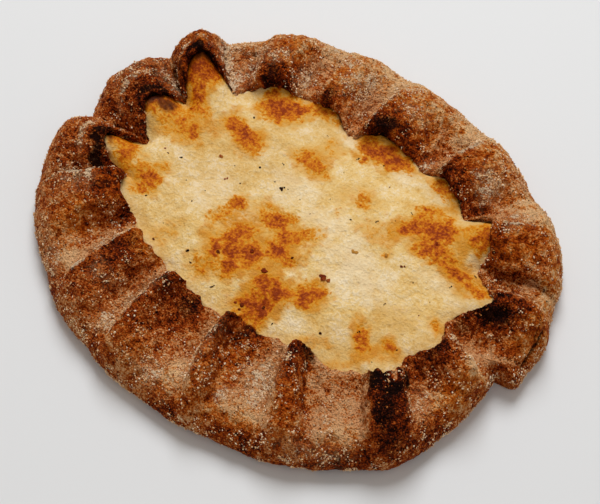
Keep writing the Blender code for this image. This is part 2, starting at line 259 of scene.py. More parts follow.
# the CAD solids are centred on their own footprint, so the same samples give the same shift here
samplesInPleat = np.array([0.0, 0.14, 0.28, 0.40, 0.50, 0.60, 0.74, 0.88])
edgeSamples = (np.arange(pleats)[:, None] + samplesInPleat).ravel()
edgeRing = sheet(edgeSamples, np.zeros_like(edgeSamples))
centreShift = -np.append((edgeRing[:, :2].min(axis=0) + edgeRing[:, :2].max(axis=0)) / 2.0, 0.0)
print("shift in mm", centreShift.round(3))


# noise

def hashed(ix, iy, iz, seed):  # a number from 0 to 1 for each lattice corner
    n = ix * 374761393 + iy * 668265263 + iz * 1274126177 + seed * 362437
    n = (n ^ (n >> 13)) * 1274126177
    n = n ^ (n >> 16)
    return (n & 0xFFFFFF) / float(0xFFFFFF)


def noise(points, size, seed):  # smooth lattice noise from -1 to 1, one cell every size mm
    p = points / size
    base = np.floor(p).astype(np.int64)
    f = p - base
    f = f * f * f * (f * (f * 6.0 - 15.0) + 10.0)
    total = 0.0
    for corner in ((x, y, z) for x in (0, 1) for y in (0, 1) for z in (0, 1)):
        weight = 1.0
        for k in range(3):
            weight = weight * np.abs(1 - corner[k] - f[..., k])
        total = total + weight * hashed(*(base[..., k] + corner[k] for k in range(3)), seed)
    return total * 2.0 - 1.0


def layered(points, size, seed, layers, fade):  # noise on ever smaller cells, each fade as strong
    total, weight, norm = 0.0, 1.0, 0.0
    for layer in range(layers):
        total = total + weight * noise(points + 17.3 * layer, size / 2.0 ** layer, seed + layer)
        norm += weight
        weight *= fade
    return total / norm


# kinds of unevenness: cell size in mm, seed, layers, how strong each finer layer is next to the last
noises = {
    "fray": (3.5, 21, 4, 0.65), "cloud": (6.0, 22, 3, 0.6), "spotRim": (2.6, 71, 4, 0.65),
    "foldWay": (3.0, 77, 2, 0.5), "foldGaps": (1.1, 78, 2, 0.7),
    "creaseShadowWay": (4.0, 79, 3, 0.6), "creaseShadowGaps": (2.0, 80, 2, 0.6), "crackWay": (3.0, 82, 3, 0.6),
    "lumps": (8.0, 3, 3, 0.5), "crumb": (2.1, 9, 2, 0.8), "grain": (0.8, 12, 2, 0.8),
    "ragged": (2.4, 51, 3, 0.65),
    "swell": (12.0, 5, 2, 0.5), "riceLump": (3.4, 6, 2, 0.5), "riceGrain": (0.95, 7, 2, 0.7),
}


def uneven(points, kind):
    return layered(points, *noises[kind])


def turned(degrees=38.0):  # cosine and sine; most ovals and specks on the filling lie at this turn
    return math.cos(math.radians(degrees)), math.sin(math.radians(degrees))


def patches(points, spots, ragged, seed):
    # soft ovals (x, y, half length, half width, strength, turn) whose rims are pushed about by noise; where
    # they overlap they add up towards 1
    left = np.ones(points.shape[:-1])
    rough = layered(points, 3.0, seed, 4, 0.7) * ragged
    for x, y, long, wide, strength, *turn in spots:
        c, s = turned(*turn)
        dx, dy = points[..., 0] - x, points[..., 1] - y
        away = np.hypot((dx * c + dy * s) / long, (dy * c - dx * s) / wide)
        left *= 1.0 - strength * smooth(0.5 + (1.0 - away + rough) * 0.75)
    return 1.0 - left


# meshes

def closedSkin(name, grid, low, high):
    # grid holds rings of points from the low pole to the high one; the poles close it
    rings, count = grid.shape[:2]
    points = np.concatenate([[low], grid.reshape(-1, 3), [high]]) * mm
    i = np.arange(count)
    j = (i + 1) % count
    start = 1 + np.arange(rings - 1)[:, None] * count
    quads = np.stack([start + i, start + j, start + count + j, start + count + i], axis=-1).reshape(-1, 4)
    first = np.stack([np.zeros_like(i), 1 + j, 1 + i], axis=-1)
    last = 1 + (rings - 1) * count
    end = np.stack([last + i, last + j, np.full_like(i, len(points) - 1)], axis=-1)
    return makeMesh(name, points, [first, quads, end])


def makeMesh(name, points, faceSets):
    mesh = bpy.data.meshes.new(name)
    sizes = np.concatenate([np.full(len(f), f.shape[1]) for f in faceSets])
    corners = np.concatenate([f.ravel() for f in faceSets])
    mesh.vertices.add(len(points))
    mesh.vertices.foreach_set("co", points.astype(np.float32).ravel())
    mesh.loops.add(len(corners))
    mesh.loops.foreach_set("vertex_index", corners.astype(np.int32))
    mesh.polygons.add(len(sizes))
    mesh.polygons.foreach_set("loop_start", np.concatenate([[0], np.cumsum(sizes)[:-1]]).astype(np.int32))
    mesh.update(calc_edges=True)
    mesh.validate()
    mesh.shade_smooth()
    piece = bpy.data.objects.new(name, mesh)
    bpy.context.scene.collection.objects.link(piece)
    return piece


def paint(piece, name, values):  # one number for each vertex
    layer = piece.data.attributes.new(name, "FLOAT", "POINT")
    layer.data.foreach_set("value", np.clip(values, 0.0, 1.0).astype(np.float32))


def gridNormals(grid):  # from the neighbours along and across the rings
    along = np.roll(grid, -1, axis=1) - np.roll(grid, 1, axis=1)
    across = np.gradient(grid, axis=0)
    normal = np.cross(along, across)
    return normal / (np.linalg.norm(normal, axis=-1, keepdims=True) + 1e-12)


# the crust

crustLook = {
    "around": 1000,          # points round the rim
    "topRings": 72,
    "lumps": 0.34,           # mm, wide unevenness of the dough
    "wrinkles": 0.20,        # mm, folds that run from edge to lip
    "crumb": 0.55,           # mm, rough baked skin
    "grain": 0.30,           # mm, its finer grain
    "ragged": 0.85,          # mm, uneven edge of the lip
    # browning of the paler dough between the pleats, by place round the rim, near the lip and halfway down;
    # near the +X end it is partly painted shade
    "valleyAt": [0.0, 0.3, 1.25, 2.4, 3.45, 4.45, 5.3, 8.0, 9.65, 10.7, 11.7, 12.65, 13.45, 14.4, 15.3,
                 16.0],
    "valleyBakeAndShade": [0.42, 0.40, 0.18, 0.22, 0.28, 0.28, 0.40, 0.38, 0.02, 0.10, 0.14, 0.12, 0.10, 0.40, 0.36,
                   0.42],
    "valleyLowAndShade": [0.22, 0.26, -0.08, -0.02, -0.02, 0.02, 0.26, 0.30, -0.06, 0.06, 0.06, 0.06, -0.04, 0.22,
                  -0.02, 0.22],
    # and of the outer edge, darkened further on the near side, from 9 to 14, as painted shade
    "rimAt": [0, 1, 3, 5, 6, 7, 9, 14, 15.4, 16],
    "rimBakeAndShade": [0.26, -0.10, -0.18, -0.08, 0.16, 0.36, 0.52, 0.60, 0.42, 0.26],
    "looseEdge": 0.24,       # how much softer the faces' borders get towards the edge, in pleats
    "fray": 0.055,           # how far the browning's borders wander, in pleats
    "surface": {"Roughness": 0.75, "IOR": 1.45, "Specular IOR Level": 0.06},
}

# browned face of each pleat: start, end, softness of both borders, in pleats, then browning at lip, middle
# and edge, and how much of it is lost by the end (or, below zero, by the start)
# the browned faces are partly painted shade too: the bands that end at 11.50 and 12.47 run on past their
# fold into its shadow
bands = [
    (-0.45, 0.05, 0.05, 0.03, 0.98, 0.72, 0.36, -0.2), (0.50, 1.07, 0.03, 0.03, 0.64, 0.48, 0.30, -0.1),
    (1.50, 2.17, 0.05, 0.05, 0.76, 0.48, 0.12, -0.2), (2.52, 3.28, 0.10, 0.05, 0.86, 0.42, 0.10, -0.35),
    (3.66, 4.22, 0.10, 0.05, 0.64, 0.32, 0.10, -0.3), (4.68, 5.10, 0.06, 0.03, 0.88, 0.44, 0.20, -0.2),
    (5.66, 6.48, 0.20, 0.04, 0.72, 0.52, 0.30, 0.0), (6.52, 7.50, 0.04, 0.04, 0.74, 0.58, 0.38, 0.0),
    (7.52, 8.47, 0.04, 0.04, 0.62, 0.48, 0.34, 0.0), (8.58, 9.50, 0.04, 0.14, 0.84, 0.58, 0.36, 0.45),
    (9.84, 10.50, 0.04, 0.12, 0.62, 0.74, 0.40, 0.45), (10.92, 11.50, 0.03, 0.12, 0.88, 0.66, 0.38, 0.45),
    (11.97, 12.47, 0.03, 0.10, 0.80, 0.52, 0.36, 0.25), (12.87, 13.20, 0.05, 0.06, 0.80, 0.52, 0.38, 0.1),
    (13.80, 14.20, 0.04, 0.06, 0.95, 0.88, 0.48, 0.0), (14.55, 15.00, 0.06, 0.04, 0.86, 0.52, 0.30, -0.2),
]

# spots on the crust: place in pleats, place from edge (0) to lip (1), half width, half height, strength
# char, and painted shade: the spots at the hood openings, near 5.8 to 6.3, 6.7 to 7.0 and 7.9 to 8.4 by the
# lip, stand for the dark insides of the hoods
charAndShadeSpots = [
    (6.96, 0.92, 0.20, 0.10, 0.90), (6.74, 0.95, 0.10, 0.10, 0.85), (7.02, 0.72, 0.14, 0.12, 0.55),
    (8.42, 0.80, 0.10, 0.10, 0.95), (8.34, 0.88, 0.10, 0.07, 0.80), (7.90, 0.95, 0.12, 0.07, 0.90),
    (8.02, 0.90, 0.10, 0.12, 1.00), (8.14, 0.88, 0.09, 0.14, 1.00), (8.26, 0.94, 0.08, 0.07, 0.85),
    (5.98, 0.95, 0.12, 0.10, 0.90), (6.12, 0.92, 0.12, 0.08, 0.80), (5.76, 0.99, 0.15, 0.06, 0.60),
    (6.34, 0.90, 0.05, 0.20, 0.60), (15.80, 0.78, 0.12, 0.28, 0.90), (3.10, 0.96, 0.17, 0.12, 0.85),
    (4.10, 0.97, 0.13, 0.10, 0.60), (4.98, 0.97, 0.11, 0.12, 0.70), (2.10, 0.95, 0.20, 0.08, 0.40),
    (11.22, 0.92, 0.14, 0.12, 0.60), (12.16, 0.95, 0.14, 0.08, 0.55), (13.03, 0.97, 0.10, 0.07, 0.70),
    (13.82, 0.86, 0.07, 0.20, 0.95), (14.08, 0.72, 0.18, 0.12, 1.00), (14.32, 0.86, 0.08, 0.16, 0.95),
    (13.95, 0.48, 0.13, 0.26, 0.80), (14.00, 0.16, 0.13, 0.12, 0.50), (14.78, 0.92, 0.14, 0.12, 0.60),
    (0.52, 0.45, 0.04, 0.45, 0.50), (10.10, 0.62, 0.14, 0.14, 0.40), (10.06, 0.92, 0.16, 0.10, 0.50),
    (8.86, 0.80, 0.12, 0.14, 0.50), (15.52, 0.88, 0.10, 0.12, 0.50),
]
goldSpots = [
    (1.25, 0.22, 0.40, 0.32, 1.0), (2.30, 0.22, 0.50, 0.32, 1.0), (3.40, 0.20, 0.60, 0.30, 1.0),
    (4.30, 0.20, 0.50, 0.26, 0.9), (5.10, 0.12, 0.40, 0.20, 0.8), (0.50, 0.10, 0.50, 0.16, 0.8),
    (10.00, 0.97, 0.42, 0.10, 1.0), (8.85, 0.93, 0.25, 0.10, 0.9), (9.62, 0.32, 0.20, 0.14, 0.5),
    (13.50, 0.25, 0.20, 0.11, 0.5), (15.12, 0.30, 0.09, 0.30, 1.0), (0.80, 0.70, 0.22, 0.40, 0.8),
    (12.20, 0.60, 0.25, 0.50, 0.5), (2.80, 0.70, 0.22, 0.30, 0.6), (4.85, 0.40, 0.12, 0.30, 0.8),
    (6.60, 0.95, 0.15, 0.15, 0.7), (5.92, 0.70, 0.10, 0.40, 0.8), (13.00, 0.50, 0.15, 0.40, 0.5),
    (11.10, 0.30, 0.30, 0.20, 0.3), (14.90, 0.35, 0.12, 0.25, 0.6), (4.95, 0.62, 0.16, 0.30, 1.0),
    (4.00, 0.62, 0.26, 0.32, 0.9), (2.95, 0.50, 0.28, 0.34, 0.9), (3.05, 0.97, 0.30, 0.06, 1.0),
    (4.95, 0.98, 0.20, 0.05, 1.0), (1.85, 0.60, 0.24, 0.30, 0.6), (14.75, 0.25, 0.30, 0.20, 0.9),
    (11.70, 0.30, 0.14, 0.20, 0.8), (9.20, 0.45, 0.20, 0.25, 0.7), (12.20, 0.25, 0.30, 0.20, 0.4),
    (6.30, 0.85, 0.14, 0.20, 0.9), (15.90, 0.20, 0.30, 0.20, 0.8), (5.05, 0.10, 0.50, 0.12, 0.5),
    (12.55, 0.20, 0.30, 0.14, 0.6), (8.80, 0.82, 0.25, 0.08, 0.7),
]
flourSpots = [
    (1.30, 0.12, 0.30, 0.10, 0.4), (2.35, 0.10, 0.30, 0.10, 0.4), (3.40, 0.24, 0.40, 0.10, 0.6),
    (4.60, 0.20, 0.40, 0.12, 0.6), (8.05, 0.60, 0.26, 0.07, 1.0), (7.02, 0.52, 0.30, 0.07, 0.9),
    (6.02, 0.70, 0.34, 0.07, 0.7), (5.02, 0.70, 0.14, 0.16, 0.7), (3.95, 0.66, 0.14, 0.20, 0.7),
    (1.10, 0.80, 0.20, 0.12, 0.6), (2.95, 0.62, 0.16, 0.16, 0.5), (10.15, 0.50, 0.16, 0.10, 0.5),
    (5.58, 0.45, 0.10, 0.40, 1.0), (5.50, 0.20, 0.16, 0.14, 0.9), (6.62, 0.60, 0.10, 0.30, 0.5),
    (6.95, 0.30, 0.20, 0.16, 0.5), (9.64, 0.75, 0.14, 0.22, 0.75), (10.66, 0.70, 0.16, 0.26, 0.8),
    (10.62, 0.27, 0.16, 0.12, 1.0), (11.80, 0.55, 0.18, 0.36, 0.6), (12.66, 0.60, 0.16, 0.28, 1.0),
    (12.45, 0.33, 0.10, 0.10, 0.9), (13.35, 0.35, 0.12, 0.20, 0.6), (1.20, 0.58, 0.14, 0.28, 0.7),
    (1.72, 0.62, 0.16, 0.20, 0.8), (2.25, 0.45, 0.14, 0.25, 0.6), (3.75, 0.50, 0.10, 0.24, 0.8),
    (4.16, 0.42, 0.14, 0.12, 0.8), (4.64, 0.78, 0.10, 0.20, 1.0), (5.28, 0.60, 0.12, 0.40, 0.7),
    (5.45, 0.80, 0.14, 0.24, 0.9), (2.48, 0.90, 0.10, 0.16, 0.8), (14.35, 0.45, 0.14, 0.20, 0.6),
    (3.20, 0.30, 0.10, 0.14, 0.8), (8.70, 0.50, 0.20, 0.20, 0.6), (8.65, 0.62, 0.16, 0.05, 1.0),
    (0.20, 0.50, 0.14, 0.40, 0.3), (6.55, 0.80, 0.08, 0.20, 0.8), (11.45, 0.20, 0.14, 0.14, 0.8),
    (9.50, 0.10, 0.20, 0.10, 0.7), (13.30, 0.10, 0.30, 0.08, 0.5), (15.30, 0.60, 0.14, 0.30, 0.3),
]
# thin floury lines along sharp folds: place in pleats at the edge and at the lip, start, end, half width,
# strength
foldLines = [
    (9.86, 9.86, 0.20, 0.92, 0.040, 0.8), (10.90, 10.89, 0.20, 0.95, 0.040, 0.8),
    (11.92, 11.91, 0.30, 0.97, 0.036, 0.7), (12.50, 12.38, 0.45, 0.90, 0.030, 0.8),
    (8.58, 8.58, 0.06, 0.92, 0.014, 1.1), (2.15, 2.17, 0.35, 0.98, 0.022, 0.8),
    (1.05, 1.06, 0.30, 0.90, 0.020, 0.8), (5.52, 5.50, 0.20, 0.98, 0.030, 0.9),
    (14.46, 14.50, 0.35, 0.80, 0.030, 0.5), (15.10, 15.08, 0.20, 0.95, 0.040, 0.9),
    (8.50, 8.50, 0.30, 0.95, 0.020, 0.7), (12.93, 12.92, 0.30, 0.95, 0.016, 0.6),
    (0.10, 0.09, 0.25, 0.95, 0.040, 0.6), (3.28, 3.29, 0.30, 0.98, 0.020, 0.6),
    (4.26, 4.25, 0.30, 0.98, 0.020, 0.5), (7.52, 7.52, 0.30, 0.98, 0.020, 0.6),
    (6.46, 6.46, 0.30, 0.98, 0.020, 0.6),
]
# painted shadow: dark lines in the crevice where one fold lies on the next, also pressed in a little, in the
# same terms
creaseShadowLines = [
    (9.95, 9.93, 0.25, 0.95, 0.012, 0.6), (10.97, 10.965, 0.25, 0.95, 0.012, 0.6),
    (11.99, 11.985, 0.30, 0.95, 0.012, 0.6), (12.76, 12.73, 0.30, 0.96, 0.018, 0.7),
    (13.30, 13.27, 0.25, 0.90, 0.018, 0.5), (13.73, 13.70, 0.30, 0.98, 0.020, 0.6),
    (14.40, 14.40, 0.30, 0.95, 0.018, 0.5), (15.22, 15.20, 0.20, 0.96, 0.020, 0.7),
    (0.23, 0.22, 0.20, 0.96, 0.022, 0.9), (1.23, 1.24, 0.20, 0.96, 0.020, 0.7),
    (2.34, 2.36, 0.30, 0.98, 0.022, 0.7), (3.44, 3.45, 0.30, 0.98, 0.022, 0.5),
    (4.42, 4.41, 0.40, 0.98, 0.022, 0.6), (5.32, 5.30, 0.30, 0.98, 0.022, 0.7),
    (5.56, 5.54, 0.20, 0.98, 0.030, 0.9), (6.50, 6.50, 0.20, 0.98, 0.030, 0.9),
    (7.50, 7.50, 0.20, 0.98, 0.030, 0.9), (8.53, 8.53, 0.20, 0.95, 0.026, 0.9),
]
# cracks that run along the outer edge: place in pleats and share at both ends, half width, strength
edgeCracks = [
    (15.58, 16.26, 0.05, 0.14, 0.020, 1.0), (15.48, 15.60, 0.34, 0.08, 0.016, 0.9),
    (15.80, 16.02, 0.12, 0.24, 0.016, 0.8),
]
# pale notches that browning leaves out, in the terms of the spots
paleNotches = [(14.07, 1.00, 0.045, 0.10, 1.0)]
# hollows pressed into the dough, in the terms of the spots
dentSpots = [
    (6.96, 0.84, 0.16, 0.14, 0.3), (8.42, 0.80, 0.08, 0.14, 0.4), (14.05, 0.80, 0.12, 0.16, 0.6),
    (1.30, 0.55, 0.14, 0.28, 0.6), (2.40, 0.60, 0.12, 0.26, 0.6), (3.46, 0.60, 0.12, 0.26, 0.5),
    (15.40, 0.60, 0.10, 0.28, 0.7), (9.70, 0.55, 0.10, 0.30, 0.5), (10.66, 0.60, 0.12, 0.30, 0.5),
    (11.66, 0.60, 0.12, 0.30, 0.5),
]


def around(away):  # the shorter way round the rim, in pleats
    return (away + 0.5 * pleats) % pleats - 0.5 * pleats


def crackField(u, share, cracks, wander):  # narrow bell curves along lines that go round the rim
    best = np.zeros(u.shape)
    for start, end, low, high, wide, strength in cracks:
        way = around(u - start) / (end - start)
        across = (share - (low + (high - low) * way) + wander) / wide
        along = smooth((way + 0.1) / 0.2) * (1.0 - smooth((way - 0.9) / 0.2))
        best = np.maximum(best, strength * along * np.exp(-across ** 2))
    return best


def spotField(u, share, spots, wobble):  # strongest of soft ovals in pleats and share, rims pushed by noise
    best = np.zeros(u.shape)
    for at, height, wide, high, strength in spots:
        away = np.hypot(around(u - at) / wide, (share - height) / high)
        best = np.maximum(best, strength * smooth(1.45 - away + wobble))
    return best


def lineField(u, share, lines, wander, broken):  # narrow bell curves that follow the pleats
    best = np.zeros(u.shape)
    for low, high, start, end, wide, strength in lines:
        across = around(u - (low + (high - low) * share) + wander) / wide
        along = smooth((share - start) / 0.08) * (1.0 - smooth((share - end) / 0.06))
        best = np.maximum(best, strength * along * np.exp(-across ** 2))
    return best * broken


def bakeAndShadeLevels(u, share, points):
    look = crustLook
    shift = uneven(points, "fray") * look["fray"]
    place = u % pleats
    rimToneAndShade = np.interp(place, look["rimAt"], look["rimBakeAndShade"])
    upper = smooth((share - 0.42) / 0.3)
    valley = np.interp(place, look["valleyAt"], look["valleyBakeAndShade"]) * upper
    valley = valley + np.interp(place, look["valleyAt"], look["valleyLowAndShade"]) * (1.0 - upper)
    total = valley + (rimToneAndShade - valley) * (1.0 - smooth((share - 0.06) / 0.20))
    total = total + 0.10 * uneven(points, "cloud")
    looser = look["looseEdge"] * (1.0 - smooth(share / 0.26))
    for start, end, softStart, softEnd, lip, middle, edge, lost in bands:
        away = around(u - 0.5 * (start + end)) + shift
        half = 0.5 * (end - start)
        within = (smooth((away + half) / (2.0 * (softStart + looser)) + 0.5)
                  * smooth((half - away) / (2.0 * (softEnd + looser)) + 0.5))
        level = np.interp(share, [0.0, 0.25, 0.6, 1.0], [edge, 0.5 * (edge + middle), middle, lip])
        way = np.clip((away + half) / (2.0 * half), 0.0, 1.0)
        level = level * (1.0 - abs(lost) * (way if lost > 0.0 else 1.0 - way))
        total = total + (level - total) * within
    return total - 0.9 * spotField(u, share, paleNotches, 0.0)


def buildCrust():
    look = crustLook
    u = evenPlaces(look["around"], 0.6)
    share = np.linspace(0.0, 1.0, look["topRings"])
    uu, ss = np.meshgrid(u, share)
    top = sheet(uu, ss)
    edge = top[0]
    base = inwards(edge, shape["undercut"])
    base[:, 2] = 0.0
    heelTurn = np.linspace(0.0, 0.5 * math.pi, 8)[1:-1]
    heel = np.stack([inwards(edge, shape["undercut"] * (1.0 - math.sin(t))) for t in heelTurn])
    heel[..., 2] = shape["bulgeHeight"] * (1.0 - np.cos(heelTurn))[:, None]
    under = np.stack([inside(u, np.full_like(u, s), shape["dough"], shape["ridgeCore"], 1.0)
                      for s in (1.0, 0.97, 0.92, 0.84, 0.7, 0.42, 0.15)])
    turn = np.linspace(0.0, math.pi, 9)[1:-1]
    tip, low = top[-1], under[0]
    nose = np.stack([inwards(tip + (low - tip) * (0.5 - 0.5 * math.cos(t)), shape["nose"] * math.sin(t))
                     for t in turn])
    wall = inwards(edge, shape["dough"] * shape["wallIn"])
    wall[:, 2] = shape["floor"] + shape["wallFoot"]
    floorRing = inwards(edge, shape["dough"] * shape["floorIn"])
    floorRing[:, 2] = shape["floor"]
    ground = np.stack([base * [k, k, 1.0] for k in (0.5, 1.0)])
    inner = np.stack([wall, floorRing, base * [0.5, 0.5, 0.0] + [0.0, 0.0, shape["floor"]]])
    grid = np.concatenate([ground, heel, top, nose, under, inner])
    groundCount = len(ground)
    topStart = groundCount + len(heel)
    topEnd = topStart + len(top)
    noseEnd = topEnd + len(nose)
    curlEnd = noseEnd + 4    # the first rings of the underside move with the lip

    shareOf = np.concatenate([np.zeros(topStart), share, np.ones(len(nose) + len(under) + len(inner))])
    shares = np.broadcast_to(shareOf[:, None], grid.shape[:2])
    places = np.broadcast_to(u, grid.shape[:2])
    plain = grid + centreShift
    course = swept(places, shares)
    # browning, with the painted shade of the valleys, the near edge and the band ends
    bakeAndShade = bakeAndShadeLevels(course, shares, plain)
    wobble = 0.45 * uneven(plain, "spotRim")
    charAndShade = spotField(places, shares, charAndShadeSpots, wobble)
    gold = spotField(places, shares, goldSpots, wobble)
    flour = spotField(places, shares, flourSpots, wobble)
    lines = lineField(course, shares, foldLines, 0.02 * uneven(plain, "foldWay"),
                      np.clip(0.62 + 1.9 * uneven(plain, "foldGaps"), 0.0, 1.2))
    # painted shadow along the crevices, joined by the cracks along the edge; both also press the dough in
    creaseShadowsAndCracks = lineField(course, shares, creaseShadowLines, 0.025 * uneven(plain, "creaseShadowWay"),
                     0.75 + 0.6 * uneven(plain, "creaseShadowGaps"))
    creaseShadowsAndCracks = np.maximum(creaseShadowsAndCracks, crackField(places, shares, edgeCracks, 0.03 * uneven(plain, "crackWay")))
    # the painted crease shadows darken the dough like char
    charAndShade = np.maximum(charAndShade, 0.85 * creaseShadowsAndCracks)
    charAndShade = charAndShade * (1.0 - spotField(places, shares, paleNotches, 0.0))
    dents = spotField(places, shares, dentSpots, 0.5 * wobble)
    # the underside of the dough is paler, and darker inside the hoods
    below = np.zeros(len(grid))
    below[noseEnd:] = 1.0
    hood = rounded(hoodAt, u)
    bakeAndShade = bakeAndShade * (1.0 - below[:, None]) + below[:, None] * (0.35 + 0.45 * hood)

    # relief
    skin = np.zeros(len(grid))
    skin[groundCount:curlEnd] = 1.0
    normal = gridNormals(grid)
    along = np.stack([places * 6.0, shares * 2.2, np.zeros_like(shares)], axis=-1)
    folds = noise(along, 1.0, 31) + 0.6 * noise(along * [2.3, 1.4, 1.0], 1.0, 32)
    lumps = uneven(grid, "lumps")
    crumb = uneven(grid, "crumb")
    grain = uneven(grid, "grain")
    nearLip = smooth((shares - 0.45) / 0.4)
    push = look["lumps"] * lumps + look["wrinkles"] * folds * (0.4 + 0.6 * nearLip) + look["crumb"] * crumb
    push = (push + look["grain"] * grain) * (0.62 + 0.38 * smooth(shares / 0.2))
    push = push + 0.40 * lines - 0.8 * creaseShadowsAndCracks - 1.1 * dents - 0.2 * charAndShade * (0.5 + 0.5 * crumb)
    low = smooth(grid[..., 2] / 2.0)
    moved = grid + normal * (push * skin[:, None] * (0.25 + 0.75 * low))[..., None]
    # the edge of the lip wanders in and out
    lipEdge = np.zeros(len(grid))
    lipEdge[topStart:noseEnd] = smooth((np.concatenate([share, np.ones(len(nose))]) - 0.8) / 0.2)
    lipEdge[noseEnd:curlEnd] = 1.0
    wander = uneven(top[-1], "ragged") * look["ragged"]
    reach = np.linalg.norm(moved[..., :2], axis=-1, keepdims=True)
    moved[..., :2] *= 1.0 + lipEdge[:, None, None] * wander[None, :, None] / reach
    moved[..., 2] = np.maximum(moved[..., 2], 0.0)
    moved[:groundCount, :, 2] = 0.0
    moved += centreShift
    piece = closedSkin("rye_crust", moved, centreShift, centreShift + [0.0, 0.0, shape["floor"]])
    for name, field in (("bakeAndShade", bakeAndShade), ("charAndShade", charAndShade), ("gold", gold), ("flour", flour), ("fold", lines),
                        ("relief", 0.5 + 0.5 * crumb + 0.45 * grain)):
        paint(piece, name, np.concatenate([[0.3], field.ravel(), [0.3]]))
    rows = slice(groundCount + 1, noseEnd)
    return piece, {"points": moved[rows], "normals": gridNormals(moved)[rows], "flour": flour[rows],
                   "bakeAndShade": bakeAndShade[rows], "charAndShade": charAndShade[rows], "lines": lines[rows], "share": shares[rows]}


# the filling

fillingLook = {
    "around": 640,
    "topRings": 118,
    "hoodFill": 0.72,        # how far the porridge climbs into the hoods
    "bank": (0.3, 0.75, 1.05, 1.15),  # mm inwards and up of the two rings that meet the lip
    "oval": (45.0, 30.0),    # half axes of the even rings in the middle
    "slope": 0.42,           # share of the way to the middle over which it falls to its level
    "even": 110.0,           # how fast the rim's unevenness fades inwards
    "fall": 2.6,             # mm from the middle to the rim, and the height of a slow wave on it
    "wave": 0.35,
    "swell": 0.35,           # mm, unevenness from wide to fine
    "lump": 0.24,
    "grain": 0.09,
    "surface": {"Roughness": 0.5, "IOR": 1.42, "Specular IOR Level": 0.12},
}

